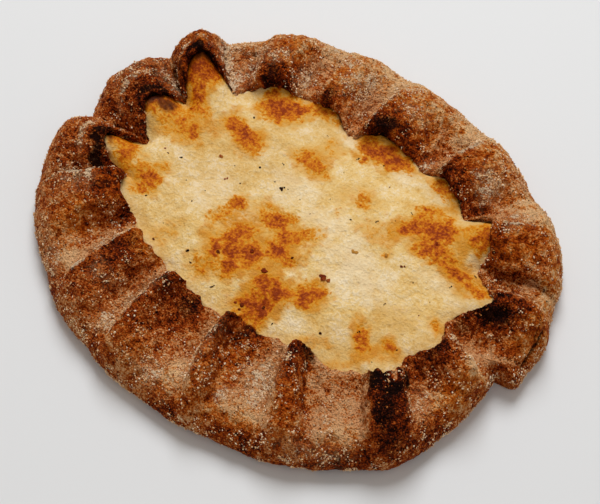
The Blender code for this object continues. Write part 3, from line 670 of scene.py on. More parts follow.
# places on the filling, in plan: x, y, half length, half width, strength, and the turn where it isn't 38
# degrees; first the browned ones
brownSpots = [
    (-27.6, 13.5, 2.4, 1.6, 0.75, -7), (-22.8, 12.5, 1.9, 2.1, 0.95, -16),
    (-20.2, 11.3, 2.0, 1.4, 0.6, 4), (-9.5, 16.3, 2.2, 1.1, 0.5, 9), (-6.1, 15.8, 2.3, 1.4, 0.65, -2),
    (-2.8, 15.1, 1.8, 1.0, 0.45, -17), (-14.4, -8.4, 2.1, 1.4, 0.65), (-13.3, -4.4, 1.7, 1.4, 0.8, 61),
    (-6.2, -1.3, 1.6, 1.7, 0.55), (-2.8, -2.2, 2.1, 1.4, 0.85), (-0.2, 0.2, 1.2, 0.8, 0.8),
    (-0.0, -3.4, 2.1, 1.5, 0.9, -25), (3.5, -3.4, 2.3, 1.4, 0.8), (2.4, -7.7, 2.1, 2.4, 0.95),
    (6.2, -8.8, 1.2, 1.1, 0.6), (6.3, -0.6, 1.9, 1.6, 0.5), (-9.3, -11.7, 3.0, 1.6, 0.75),
    (-6.7, -8.6, 1.9, 1.6, 0.7), (-6.4, -14.5, 3.0, 2.7, 1), (-2.2, -12.3, 1.6, 1.6, 0.95),
    (-4.6, -18.9, 2.5, 1.6, 0.8), (-1.3, -15.3, 1.8, 1.6, 0.65), (-10.2, -21.6, 1.4, 2.4, 0.5),
    (5.6, -17.6, 2.7, 2.4, 1), (9.6, -16.4, 1.4, 2.1, 0.75), (7.4, -22.1, 2.7, 2.3, 1),
    (8.0, -25.3, 1.8, 1.3, 0.7), (14.2, -11.9, 2.5, 1.8, 0.6), (15.8, -13.2, 1.8, 1.6, 0.9),
    (14.7, -15.8, 1.6, 1.0, 0.55), (23.4, 22.5, 2.1, 1.1, 0.7), (22.3, 15.4, 2.2, 1.3, 0.85, 66),
    (25.1, 18.3, 2.1, 2.2, 0.85), (28.6, 18.6, 2.3, 2.2, 1), (29.4, 15.1, 2.8, 2.2, 0.9),
    (29.5, 21.4, 1.4, 2.2, 0.75), (32.0, 13.4, 1.9, 1.1, 0.65), (35.9, 14.1, 1.2, 1.1, 0.65),
    (38.5, 13.1, 1.9, 1.5, 0.9, -7), (42.7, 12.4, 1.9, 1.0, 0.6, -7), (46.1, 12.7, 2.1, 1.3, 0.75, 9),
    (31.0, -14.4, 0.9, 2.3, 0.85), (36.8, -11.5, 0.9, 0.8, 0.75), (41.9, -1.0, 0.7, 1.0, 0.6),
    (27.5, -11.3, 0.7, 1.5, 0.35), (-36.4, -10.8, 1.7, 1.7, 0.6), (-34.0, -11.4, 1.7, 2.3, 0.8),
    (-34.7, -14.8, 1.9, 0.8, 0.5), (-33.7, -5.8, 1.0, 0.9, 0.35), (-40.9, 7.2, 2.9, 1.8, 0.5),
    (-41.7, 3.3, 1.9, 2.6, 0.4), (-36.4, 4.8, 2.2, 2.3, 0.55), (-33.9, 4.9, 0.7, 1.2, 0.9),
    (-37.0, 11.3, 1.5, 1.8, 0.6), (-18.1, 28.0, 1.9, 0.9, 0.6), (-14.4, 30.1, 2.9, 1.5, 0.75),
    (-5.8, 22.1, 1.4, 2.3, 0.35), (9.2, 14.9, 1.4, 1.7, 0.5), (6.9, 8.9, 0.7, 1.1, 0.35),
    (22.6, 6.4, 0.7, 0.5, 0.6), (-22.3, -20.8, 2.3, 1.1, 0.35, 50), (17.6, 10.7, 3.3, 1.9, 0.35),
    (5.2, 13.5, 1.5, 1.3, 0.2, -12), (-39.5, 13.2, 1.2, 3.0, 0.75), (-42.0, 16.8, 2.0, 3.0, 0.75),
    (-44.4, 20.8, 2.2, 2.7, 0.95), (-41.6, 19.7, 1.5, 2.4, 0.7), (-23.2, 25.9, 3.2, 2.7, 0.85),
    (-21.1, 23.7, 2.7, 2.1, 0.85), (-25.1, 20.8, 1.5, 1.5, 0.4), (1.9, 28.6, 2.4, 2.3, 0.85),
    (6.6, 29.4, 3.3, 2.3, 0.9), (10.6, 28.9, 2.0, 1.1, 0.6, 3), (38.8, 23.6, 2.5, 2.2, 0.85),
    (35.6, 22.3, 1.9, 2.4, 0.5), (22.7, 29.9, 2.5, 1.3, 0.55, -13), (-44.8, -7.3, 1.4, 2.9, 0.7),
    (-43.4, -10.4, 1.7, 1.7, 0.6), (-41.8, -7.7, 1.2, 1.4, 0.4), (-47.0, 4.8, 1.8, 1.4, 0.7, 4),
    (-44.8, 7.5, 2.0, 1.5, 0.75, 26), (-47.2, 8.2, 2.0, 1.4, 0.85, 14), (-47.4, -7.5, 1.2, 1.4, 0.8),
    (-41.4, -12.8, 2.0, 1.4, 0.5, 15), (-45.5, 21.4, 2.4, 1.8, 1), (-41.6, 21.8, 1.2, 2.4, 0.9),
    (-45.7, 17.8, 1.0, 2.7, 0.8), (-9.7, 29.1, 2.0, 1.1, 0.4, 14), (0.2, 32.3, 1.9, 1.4, 0.7),
    (22.9, 30.0, 2.5, 1.1, 0.7, -13),
]
# wide golden stains round them; those along the near edge, at x 20 to 38 and y -13 to -23, are partly
# painted shade
toastSpots = [
    (29.9, -18.9, 4.9, 2.3, 0.3, 27), (37.3, -13.8, 5.5, 2.5, 0.4, 55), (24.0, -20.4, 3.7, 1.8, 0.6, 16),
    (45.9, 3.2, 4.3, 2.0, 0.5, 70), (-3.3, -9.8, 13.5, 9.3, 0.55), (6.1, -18.9, 7.3, 6.3, 0.6),
    (15.9, -12.9, 5.5, 4.7, 0.5), (27.7, 17.5, 8.9, 7.7, 0.6), (-24.4, 12.3, 6.3, 5.4, 0.45, -7),
    (-37.9, 6.2, 8.2, 6.5, 0.55), (-21.7, 24.8, 8.3, 4.1, 0.55), (-6.3, 15.6, 6.0, 3.8, 0.4, 3),
    (5.6, 30.0, 8.2, 4.0, 0.5, 20), (41.1, 13.8, 7.0, 5.8, 0.5, 4), (19.8, 11.7, 7.9, 3.3, 0.45),
    (30.9, -13.5, 3.2, 5.6, 0.45), (35.8, -4.2, 7.7, 4.1, 0.3), (-34.9, -11.0, 4.8, 4.5, 0.45),
    (8.9, 15.4, 5.0, 4.2, 0.3, -7), (-42.0, 16.9, 3.9, 7.2, 0.7), (-5.3, 21.4, 3.4, 5.2, 0.35),
    (-23.3, -20.3, 6.1, 3.3, 0.3, 50), (20.2, -22.9, 5.9, 1.3, 0.35, 16),
    (36.5, -14.6, 5.8, 1.5, 0.5, 32), (30.1, -22.8, 5.8, 1.2, 0.6, 44), (-32.9, -19.9, 1.4, 2.8, 0.3),
]
# places that the oven left palest
paleSpots = [
    (21.0, -1.6, 8.0, 5.2, 0.9, 4), (-21.7, -5.7, 6.2, 4.4, 0.35, 61), (-10.9, -6.0, 3.8, 3.3, 0.7),
    (-4.0, 8.1, 7.4, 3.8, 0.6, 4), (7.4, 4.8, 6.3, 3.2, 0.7, 4), (-1.4, 28.1, 6.0, 2.8, 0.9, 3),
    (10.4, 28.3, 5.1, 3.2, 0.8, -8), (22.1, 28.5, 3.5, 2.7, 0.5, -8), (36.3, 8.7, 5.2, 3.1, 0.5, -7),
    (15.1, 0.5, 4.6, 4.3, 0.6), (-20.4, 9.6, 3.8, 2.3, 0.3), (15.6, -20.7, 3.7, 2.0, 0.4, 5),
    (41.3, 17.6, 3.2, 2.1, 0.5),
]
# places where the cream is painted a little darker, as shade where it slopes down and away from the light
paintedShadeSpots = [
    (-24.0, 4.0, 17.0, 13.0, 0.55), (-40.0, 12.0, 8.0, 10.0, 0.6), (-12.0, 24.0, 14.0, 5.0, 0.4),
    (30.0, -17.0, 12.0, 5.0, 0.75, 30), (34.0, -8.0, 6.0, 6.0, 0.4),
]
# places inside the hoods, scorched and darkened as painted shade under the hood roofs
scorchAndShadeSpots = [
    (-47.3, 23.0, 3.4, 3.0, 1.0), (-45.9, 16.8, 1.0, 3.6, 0.7), (-48.6, 7.9, 2.4, 2.4, 1.0),
    (-44.2, 6.8, 1.7, 2.3, 0.8, -25), (-48.4, 4.3, 1.2, 2.1, 0.6), (-50.4, -7.7, 1.0, 3.2, 0.8, 62),
    (-46.7, -13.1, 1.7, 1.4, 0.7),
]
# browned crumbs and husks on it: x, y, length, width, tone from black (0) to golden (1), turn as above
speckPlaces = [
    (-7.7, 5.6, 0.77, 0.66, 0, 61), (-7.3, 6.2, 0.59, 0.40, 0, 102), (-10.1, 6.2, 0.38, 0.28, 0.1),
    (-6.3, 6.4, 0.24, 0.28, 0), (-25.8, 17.9, 0.53, 0.53, 0.15), (-32.3, -1.9, 0.74, 0.39, 0.05, 15),
    (-35.5, -2.9, 0.51, 0.27, 0.3, 4), (-37.0, -2.3, 0.53, 0.34, 0.6), (-25.0, 4.2, 1.09, 0.57, 0.8, 26),
    (-20.1, 0.1, 0.95, 0.39, 0.6, 50), (-27.2, -6.1, 0.31, 0.28, 0), (-15.5, 7.3, 0.43, 0.45, 0),
    (-11.7, 11.4, 0.84, 0.26, 0.05, -12), (-20.6, 4.1, 0.29, 0.28, 0.2), (1.2, 24.0, 0.99, 0.29, 0, 83),
    (7.1, 26.4, 0.48, 0.40, 0.1), (20.6, 19.3, 0.89, 0.22, 0.1, -27), (18.8, 15.1, 0.28, 0.27, 0.2),
    (15.6, 12.2, 0.89, 0.42, 0.15, 72), (10.6, 8.7, 0.37, 0.35, 0), (27.4, 6.5, 1.20, 0.50, 0.5),
    (16.6, 2.4, 1.63, 0.80, 1, 44), (22.6, 6.4, 0.69, 0.69, 0.9), (31.6, 4.7, 0.37, 0.32, 0),
    (38.9, 9.4, 0.88, 0.30, 0, 76), (41.8, 15.3, 0.83, 0.23, 0, -18), (-14.7, -20.7, 0.79, 0.46, 0, 55),
    (-4.3, -24.3, 1.20, 0.29, 0.15, 55), (-23.2, -22.9, 0.61, 0.54, 0.35),
    (-24.0, -18.4, 0.37, 0.33, 0.2), (-12.3, -22.6, 0.55, 0.30, 0.1, -5), (-32.2, -15.0, 0.43, 0.36, 0.3),
    (-22.2, -10.0, 0.28, 0.28, 0.2), (3.0, -14.3, 1.17, 1.05, 0.55, 61),
    (15.0, -7.6, 1.53, 1.16, 0.62, 10), (16.2, -7.3, 0.92, 0.78, 0.7, 49),
    (14.1, -7.3, 0.77, 0.71, 0.6, 101), (4.1, -23.8, 1.12, 0.88, 0.5, -5), (2.5, -24.3, 0.68, 0.52, 0.6),
    (4.2, -25.0, 0.55, 0.52, 0.5), (12.4, -23.2, 0.51, 0.35, 0.15, 16), (22.7, -18.7, 0.59, 0.51, 0.2),
    (29.4, -13.1, 0.82, 0.35, 0.1, 55), (29.9, -3.9, 0.72, 0.22, 0.2, 71), (38.8, -11.2, 0.45, 0.35, 0.4),
    (36.3, -17.3, 0.27, 0.25, 0), (37.6, -1.2, 0.45, 0.36, 0.6), (-8.5, 24.8, 0.51, 0.22, 0.1, 3),
    (6.1, -7.8, 0.60, 0.53, 0.4), (8.5, -21.3, 0.68, 0.52, 0.45), (-8.6, -16.9, 0.93, 0.80, 0.5),
    (-2.4, -12.1, 0.93, 0.80, 0.5), (30.0, 16.3, 0.70, 0.54, 0.5), (3.3, 10.3, 0.28, 0.28, 0.2),
    (-2.3, 5.9, 0.24, 0.28, 0.1), (1.1, 18.5, 0.29, 0.28, 0.1), (-16.4, 0.9, 0.26, 0.28, 0.2),
    (11.9, 22.3, 0.28, 0.25, 0.5), (2.1, 4.1, 0.23, 0.27, 0.4), (-21.7, -5.7, 0.26, 0.25, 0.2),
    (37.6, 3.1, 0.30, 0.26, 0.4),
]


def fillingTop(plan):  # a low crown with a slow wave
    x, y = plan[..., 0], plan[..., 1]
    crown = (x / shape["halfLength"]) ** 2 + (y / shape["halfWidth"]) ** 2
    wave = np.sin(x / 9.0 + 0.7) * np.cos(y / 7.5 - 0.4)
    return shape["middleHeight"] - fillingLook["fall"] * crown + fillingLook["wave"] * wave


def softened(ring, amounts):  # the closed ring once for each amount, blurred along itself by as many points
    waves = np.fft.rfft(ring, axis=0)
    turns = 2.0 * math.pi * np.arange(len(waves)) / len(ring)
    fade = np.exp(-0.5 * (turns[None] * amounts[:, None]) ** 2)
    return np.fft.irfft(waves[None] * fade[..., None], n=len(ring), axis=1)


def grown(spots, scale, extra, share, power):  # larger ovals: the core of a browned place, or its halo
    return [(x, y, scale * a + extra, scale * b + extra, share * k ** power, *turn)
            for x, y, a, b, k, *turn in spots]


def buildFilling():
    look = fillingLook
    u = evenPlaces(look["around"], 1.0)
    edge = sheet(u, np.zeros_like(u))
    base = inwards(edge, shape["undercut"])
    gap, dough, lift = shape["gap"], shape["dough"], shape["floor"] + shape["gap"]
    floorIn = base * [0.5, 0.5, 0.0] + [0.0, 0.0, lift]
    floorOut = inwards(edge, dough * shape["floorIn"] + gap)
    floorOut[:, 2] = lift
    wall = inwards(edge, dough * shape["wallIn"] + 4.0 * gap)
    wall[:, 2] = shape["floor"] + shape["wallFoot"]
    under = np.stack([inside(u, np.full_like(u, s), dough + 0.12, shape["ridgeCore"], look["hoodFill"])
                      for s in (0.15, 0.26, 0.42, 0.6, 0.75, 0.86, 0.93, 1.0)])
    brim = inwards(under[-1], look["bank"][0])
    brim[:, 2] += look["bank"][1]
    rim = inwards(under[-1], look["bank"][2])
    rim[:, 2] += look["bank"][3]
    bearing = np.arctan2(rim[:, 1], rim[:, 0])
    oval = np.stack([look["oval"][0] * np.cos(bearing), look["oval"][1] * np.sin(bearing)], axis=-1)
    shares = 1.0 - np.linspace(0.0, 1.0, look["topRings"] + 1)[1:-1]
    mix = smooth((1.0 - shares) / look["slope"])[:, None]
    rings = softened(rim, look["even"] * (1.0 - shares))
    plan = shares[:, None, None] * (rings[..., :2] * (1.0 - mix[..., None]) + oval * mix[..., None])
    height = rings[..., 2] * (1.0 - mix) + fillingTop(plan) * mix
    top = np.concatenate([plan, height[..., None]], axis=-1)
    grid = np.concatenate([np.stack([floorIn, floorOut, wall]), under, np.stack([brim, rim]), top])
    topAt = len(grid) - len(top)
    roughFrom = topAt - 5    # the floor and the lower wall stay smooth
    skin = np.zeros(len(grid))
    skin[roughFrom:] = 1.0
    normal = gridNormals(grid)
    middle = smooth(np.linalg.norm(grid[..., :2], axis=-1) / 4.0)
    push = (look["swell"] * uneven(grid, "swell") + look["lump"] * uneven(grid, "riceLump")
            + look["grain"] * uneven(grid, "riceGrain") * middle)
    moved = grid + normal * (push * skin[:, None])[..., None] + centreShift
    pole = centreShift + [0.0, 0.0, shape["middleHeight"] + float(push[-1].mean())]
    piece = closedSkin("rice_porridge", moved, centreShift + [0.0, 0.0, shape["floor"] + gap], pole)
    # painted shade: the cream darkens towards its rim, under the lip of the crust, and at the places above
    rimShade = np.ones(len(grid))
    rimShade[topAt:] = smooth(1.0 - (1.0 - shares) / 0.16)
    fields = {
        "brown": patches(grid, grown(brownSpots, 1.15, 0.3, 1.0, 1.5), 1.1, 111),
        "pale": patches(grid, paleSpots, 1.2, 171),
        "scorchAndShade": patches(grid, scorchAndShadeSpots, 0.7, 151),
        "toast": patches(grid, grown(brownSpots, 1.35, 1.0, 0.8, 1.0) + toastSpots, 0.8, 131),
        "rim": np.maximum(rimShade[:, None], patches(grid, paintedShadeSpots, 0.8, 191)),
    }
    for name, field in fields.items():
        paint(piece, name, np.concatenate([[field[0].mean()], field.ravel(), [field[-1].mean()]]))
    return piece, moved


# loose grains on the crust

def pebble():  # twelve corners and twenty faces of a regular solid
    g = (1.0 + math.sqrt(5.0)) / 2.0
    corners = np.array([(-1, g, 0), (1, g, 0), (-1, -g, 0), (1, -g, 0), (0, -1, g), (0, 1, g), (0, -1, -g),
                        (0, 1, -g), (g, 0, -1), (g, 0, 1), (-g, 0, -1), (-g, 0, 1)], float)
    faces = np.array([
        (0, 11, 5), (0, 5, 1), (0, 1, 7), (0, 7, 10), (0, 10, 11), (1, 5, 9), (5, 11, 4), (11, 10, 2),
        (10, 7, 6), (7, 1, 8), (3, 9, 4), (3, 4, 2), (3, 2, 6), (3, 6, 8), (3, 8, 9), (4, 9, 5),
        (2, 4, 11), (6, 2, 10), (8, 6, 7), (9, 8, 1),
    ])
    return corners / np.linalg.norm(corners[0]), faces


def chip():  # six corners and eight faces, for the finest flour
    corners = np.array([(1, 0, 0), (-1, 0, 0), (0, 1, 0), (0, -1, 0), (0, 0, 1), (0, 0, -1)], float)
    faces = np.array([
        (0, 2, 4), (2, 1, 4), (1, 3, 4), (3, 0, 4), (2, 0, 5), (1, 2, 5), (3, 1, 5), (0, 3, 5),
    ])
    return corners, faces


def grains(name, form, centres, normals, sizes, flat, tones, rng):
    # one jittered grain for each centre, turned at random and flattened along the surface's normal
    corners, faces = form
    count = len(centres)
    spread = 1.0 + rng.uniform(-0.3, 0.3, (count, len(corners), 1))
    side = np.cross(normals, rng.normal(size=(count, 3)))
    side /= np.linalg.norm(side, axis=1, keepdims=True) + 1e-12
    other = np.cross(normals, side)
    stretch = np.stack([sizes * rng.uniform(0.9, 1.6, count), sizes, sizes * flat], axis=1)[:, None, :]
    local = corners[None] * spread * stretch * 0.5
    points = (centres[:, None] + local[..., :1] * side[:, None] + local[..., 1:2] * other[:, None]
              + local[..., 2:] * normals[:, None])
    index = (faces[None] + len(corners) * np.arange(count)[:, None, None]).reshape(-1, 3)
    piece = makeMesh(name, points.reshape(-1, 3) * mm, [index])
    piece.data.shade_flat()
    paint(piece, "tone", np.repeat(tones, len(corners)))
    return piece


grainKinds = {
    # shape, number, sizes in mm, flatness, how deep it sits, seed, tone and its spread, weight of each field
    "flour": dict(form=chip(), count=22000, small=0.12, large=0.50, flat=0.8, sunk=0.10, seed=5,
                  tone=(0.55, 0.30), base=0.20, flour=0.9, dark=-0.05, rim=0.50, lines=2.0, charAndShade=-1.0),
    "bran": dict(form=pebble(), count=6000, small=0.14, large=0.44, flat=0.5, sunk=0.25, seed=6,
                 tone=(0.52, 0.28), base=0.45, flour=-0.1, dark=0.35, rim=0.35, lines=0.0, charAndShade=0.2),
}


def scatter(name, fields, kind):
    rng = np.random.default_rng(kind["seed"])
    points = fields["points"]
    along = np.roll(points, -1, axis=1) - points
    across = np.gradient(points, axis=0)
    area = np.linalg.norm(np.cross(along, across), axis=-1)
    clump = np.clip(0.35 + 2.2 * layered(points, 2.4, kind["seed"] + 200, 3, 0.7), 0.03, 2.0) ** 1.5
    rim = 1.0 - smooth(fields["share"] / 0.12)
    weight = kind["base"] + kind["flour"] * fields["flour"] ** 1.5 + kind["dark"] * fields["bakeAndShade"]
    weight = weight + kind["rim"] * rim + kind["lines"] * fields["lines"] + kind["charAndShade"] * fields["charAndShade"]
    weight = np.clip(weight, 0.0, None) * clump * area
    weight[-1] = 0.0
    chosen = rng.choice(weight.size, kind["count"], p=weight.ravel() / weight.sum())
    row, column = np.divmod(chosen, points.shape[1])
    shift = rng.uniform(-0.5, 0.5, (2, kind["count"], 1))
    centres = points[row, column] + shift[0] * along[row, column] + shift[1] * across[row, column]
    normals = fields["normals"][row, column]
    sizes = kind["small"] + (kind["large"] - kind["small"]) * rng.random(kind["count"]) ** 2.2
    centres = centres + normals * (sizes * (0.5 * kind["flat"] - kind["sunk"]))[:, None]
    centres[:, 2] = np.maximum(centres[:, 2], 0.6 * sizes)
    tones = rng.normal(kind["tone"][0], kind["tone"][1], kind["count"])
    return grains(name, kind["form"], centres, normals, sizes, kind["flat"], tones, rng)


def placeSpecks(name, surface):
    # flat crumbs and husks lying on the filling at their own places; a larger one is made of several chips
    rng = np.random.default_rng(14)
    points = surface.reshape(-1, 3)
    normals = gridNormals(surface).reshape(-1, 3)
    centres, upright, sizes, tones = [], [], [], []
    for x, y, long, wide, tone, *turn in speckPlaces:
        pieces = max(1, int(round(long / wide)) + (2 if wide > 0.5 else 0))
        away = np.linspace(-0.5, 0.5, pieces) * (long - wide) if pieces > 1 else np.zeros(1)
        for along in away:
            side = rng.normal(0.0, 0.16 * wide)
            c, s = turned(*turn)
            spot = np.array([x + along * c - side * s, y + along * s + side * c]) + centreShift[:2]
            near = np.argmin(((points[:, :2] - spot) ** 2).sum(axis=1) - 0.02 * points[:, 2])
            centres.append([spot[0], spot[1], points[near, 2] + 0.06])
            upright.append(normals[near])
            sizes.append(1.05 * wide * rng.uniform(0.8, 1.2))
            tones.append(tone + rng.normal(0.0, 0.08))
    centres, upright, sizes, tones = (np.array(values) for values in (centres, upright, sizes, tones))
    return grains(name, pebble(), centres, upright, sizes, 0.5, tones, rng)


# materials

def toLinear(colour):  # sRGB hex to the linear values that shaders take
    parts = [int(colour[k:k + 2], 16) / 255.0 for k in (1, 3, 5)]
    return tuple(c / 12.92 if c <= 0.04045 else ((c + 0.055) / 1.055) ** 2.4 for c in parts) + (1.0,)


def newMaterial(name, surface):
    material = bpy.data.materials.new(name)
    material.use_nodes = True
    shader = material.node_tree.nodes["Principled BSDF"]
    for socket, value in surface.items():
        shader.inputs[socket].default_value = value
    return material, material.node_tree, shader


def node(tree, kind, inputs, output=0, stops=(), **settings):
    # one shader node: its settings, its inputs by socket, as numbers, colours or outputs of other nodes, and
    # the stops of a colour ramp; gives one output
    item = tree.nodes.new("ShaderNode" + kind)
    for name, value in settings.items():
        setattr(item, name, value)
    for socket, value in inputs.items():
        if isinstance(value, bpy.types.NodeSocket):
            tree.links.new(value, item.inputs[socket])
        else:
            item.inputs[socket].default_value = value
    if stops:
        elements = item.color_ramp.elements
        while len(elements) < len(stops):
            elements.new(0.5)
        for element, (place, colour) in zip(elements, stops):
            element.position = place
            element.color = toLinear(colour) if isinstance(colour, str) else (colour, colour, colour, 1.0)
    return item.outputs[output]


def painted(tree, *names):  # the numbers that the piece carries at each vertex
    return [node(tree, "Attribute", {}, "Fac", attribute_name=name) for name in names]


def speckle(tree, where, size, seed, detail):  # noise with cells of size mm
    placed = node(tree, "Mapping", {"Vector": where, "Location": (seed, seed * 1.7, seed * 0.3)})
    cells = {"Vector": placed, "Scale": 1.0 / (size * mm), "Detail": detail, "Roughness": 0.6}
    return node(tree, "TexNoise", cells, "Fac")


def weighed(tree, start, parts):  # start plus each source times its weight
    for source, weight in parts:
        start = node(tree, "Math", {0: source, 1: weight, 2: start}, operation="MULTIPLY_ADD")
    return start


def stir(tree, level, noise, middle, strength, clamp=False):  # level + strength x (noise - middle)
    away = node(tree, "Math", {0: noise, 1: middle}, operation="SUBTRACT")
    return node(tree, "Math", {0: away, 1: strength, 2: level}, operation="MULTIPLY_ADD", use_clamp=clamp)


def held(tree, level, field, steep):  # level times the field, which counts in full from 1 / steep upwards
    full = node(tree, "Math", {0: field, 1: steep}, operation="MULTIPLY", use_clamp=True)
    return node(tree, "Math", {0: level, 1: full}, operation="MULTIPLY", use_clamp=True)


def coat(tree, base, colour, amount, low=0.0, high=1.0, most=1.0):
    # a colour laid over the base: none of it up to the low amount, most of it from the high amount on
    mask = node(tree, "ValToRGB", {0: amount}, stops=[(low, 0.0), (high, most)])
    colour = toLinear(colour) if isinstance(colour, str) else colour
    return node(tree, "Mix", {0: mask, 6: base, 7: colour}, 2, data_type="RGBA")


def dress(tree, shader, colour, height, strength, depth):  # colour and fine relief, its depth in mm
    relief = {"Height": height, "Strength": strength, "Distance": depth * mm}
    tree.links.new(colour, shader.inputs["Base Color"])
    tree.links.new(node(tree, "Bump", relief), shader.inputs["Normal"])


ryeTones = {
    # browning from pale to black, on plain and on golden dough
    "plain": [(0.0, "#eaaa74"), (0.16, "#da8646"), (0.32, "#c4621e"), (0.48, "#a43e08"),
              (0.66, "#762806"), (0.84, "#451404"), (1.0, "#1b0602")],
    "golden": [(0.0, "#fdcb92"), (0.18, "#ec9c50"), (0.36, "#d46e18"), (0.54, "#b84c08"),
               (0.72, "#842e02"), (0.86, "#521902"), (1.0, "#260902")],
    "film": "#d0905a",
    "charAndShade": "#130502",
    "bran": "#35110a",
    "flour": "#f7d6ae",
}


def ryeMaterial():
    # baked rye dough: rolled thin, oven browned, dusty, so matt with a dense grain of bran and flour
    material, tree, shader = newMaterial("baked_rye_dough", crustLook["surface"])
    where = node(tree, "TexCoord", {}, "Object")
    bakeAndShade, charAndShade, flour = painted(tree, "bakeAndShade", "charAndShade", "flour")
    gold, fold, relief = painted(tree, "gold", "fold", "relief")
    grit = speckle(tree, where, 0.42, 0.011, 2.0)
    lump = speckle(tree, where, 0.95, 0.033, 3.0)
    mottle = speckle(tree, where, 2.4, 0.023, 3.0)
    cloud = speckle(tree, where, 3.4, 0.067, 4.0)
    # browning wanders in patches and is smoother on golden dough; the pits are painted darker than the tops
    # of the lumps, as shade
    level = stir(tree, bakeAndShade, mottle, 0.52, 1.2)
    level = stir(tree, level, lump, 0.5, 1.10)
    level = stir(tree, level, relief, 0.5, -0.40)
    level = stir(tree, level, grit, 0.5, weighed(tree, 1.60, [(gold, -0.88)]), True)
    plain = node(tree, "ValToRGB", {0: level}, stops=ryeTones["plain"])
    golden = node(tree, "ValToRGB", {0: level}, stops=ryeTones["golden"])
    base = coat(tree, plain, golden, stir(tree, gold, cloud, 0.46, 1.8, True))
    # a thin film of flour, thickest in its clumps
    film = stir(tree, weighed(tree, 0.0, [(flour, 0.34)]), lump, 0.5, 1.5, True)
    floury = node(tree, "Math", {0: flour, 1: 0.02}, operation="GREATER_THAN")
    film = node(tree, "Math", {0: film, 1: floury}, operation="MULTIPLY")
    base = coat(tree, base, ryeTones["film"], film)
    # char, and painted shade in the hoods and along the crease shadows, nearly black
    base = coat(tree, base, ryeTones["charAndShade"], stir(tree, charAndShade, grit, 0.5, 0.9, True), 0.25, 0.80, 0.95)
    base = coat(tree, base, ryeTones["bran"], speckle(tree, where, 0.42, 0.037, 1.0), 0.63, 0.69, 0.75)
    dust = speckle(tree, where, 0.52, 0.051, 2.0)
    clump = speckle(tree, where, 1.8, 0.081, 3.0)
    dusted = weighed(tree, -0.90, [(dust, 1.0), (clump, 1.0), (flour, 0.36), (fold, 0.55)])
    base = coat(tree, base, ryeTones["flour"], dusted, 0.40, 0.52, 0.95)
    dress(tree, shader, base, weighed(tree, grit, [(lump, 1.6)]), 1.0, 1.1)
    return material


riceTones = {
    "cream": [(0.20, "#d59f4c"), (0.42, "#e4b86a"), (0.62, "#eecb88"), (0.85, "#f7e0b6")],
    "golden": [(0.0, "#e5b85f"), (0.5, "#dc9a30"), (1.0, "#d18412")],
    "brown": [(0.10, "#e2a134"), (0.34, "#da8c14"), (0.56, "#cd7006"), (0.78, "#b45202"), (1.0, "#8c3200")],
    "scorchedAndShaded": [(0.3, "#a04e0c"), (0.9, "#3a1203")],
    "pale": "#f8e6c4",
    "paintedShade": "#c3965c",
}


def porridgeMaterial():
    # baked rice porridge: boiled in milk and browned on top, so creamy, slightly moist and mottled
    material, tree, shader = newMaterial("baked_rice_porridge", fillingLook["surface"])
    where = node(tree, "TexCoord", {}, "Object")
    brown, toast, scorchAndShade, pale, rim = painted(tree, "brown", "toast", "scorchAndShade", "pale", "rim")
    soft = speckle(tree, where, 6.0, 0.013, 3.0)
    middle = speckle(tree, where, 1.8, 0.041, 3.0)
    fine = speckle(tree, where, 0.60, 0.029, 3.0)
    shade = weighed(tree, -0.57, [(fine, 0.9), (middle, 0.5), (soft, 0.9)])
    base = node(tree, "ValToRGB", {0: shade}, stops=riceTones["cream"])
    base = coat(tree, base, riceTones["pale"], pale, most=0.55)
    # painted shade towards the rim and at the shaded places
    base = coat(tree, base, riceTones["paintedShade"], rim, most=0.35)
    # golden stains, then brown places, then scorched places with painted shade inside the hoods, all grainy;
    # where nothing is browned noise has no say
    stain = held(tree, stir(tree, stir(tree, toast, fine, 0.5, 1.0), middle, 0.5, 1.2), toast, 2.5)
    golden = node(tree, "ValToRGB", {0: stain}, stops=riceTones["golden"])
    base = coat(tree, base, golden, stain, 0.05, 0.80, 0.92)
    level = stir(tree, weighed(tree, 0.0, [(brown, 0.88)]), fine, 0.5, 1.5)
    level = held(tree, stir(tree, level, middle, 0.5, 1.5), brown, 4.0)
    browned = node(tree, "ValToRGB", {0: level}, stops=riceTones["brown"])
    base = coat(tree, base, browned, level, 0.03, 0.34)
    deep = held(tree, stir(tree, scorchAndShade, middle, 0.5, 1.0), scorchAndShade, 4.0)
    scorchedAndShaded = node(tree, "ValToRGB", {0: deep}, stops=riceTones["scorchedAndShaded"])
    base = coat(tree, base, scorchedAndShaded, deep, 0.15, 0.65, 0.95)
    dress(tree, shader, base, weighed(tree, fine, [(middle, 1.5)]), 0.8, 0.42)
    return material


dustLook = {
    # roughness, and tones from the darkest bits to the lightest
    "rye_flour": (0.9, [(0.0, "#c98a4c"), (0.5, "#e8bc88"), (1.0, "#fbe6c6")]),
    "toasted_bran": (0.8, [(0.0, "#240a03"), (0.40, "#5a2008"), (0.70, "#a04a10"), (1.0, "#cf8a48")]),
    "browned_specks": (0.7, [(0.0, "#150804"), (0.35, "#4a220c"), (0.65, "#8a2e10"), (1.0, "#b98438")]),
}


def dustMaterial(name):
    # loose bits of ground rye and husk: dry, so matt, and each takes one tone from its own attribute
    roughness, stops = dustLook[name]
    material, tree, shader = newMaterial(name, {"Roughness": roughness, "Specular IOR Level": 0.05})
    tone = painted(tree, "tone")[0]
    tree.links.new(node(tree, "ValToRGB", {0: tone}, stops=stops), shader.inputs["Base Color"])
    return material


# camera, floor and light

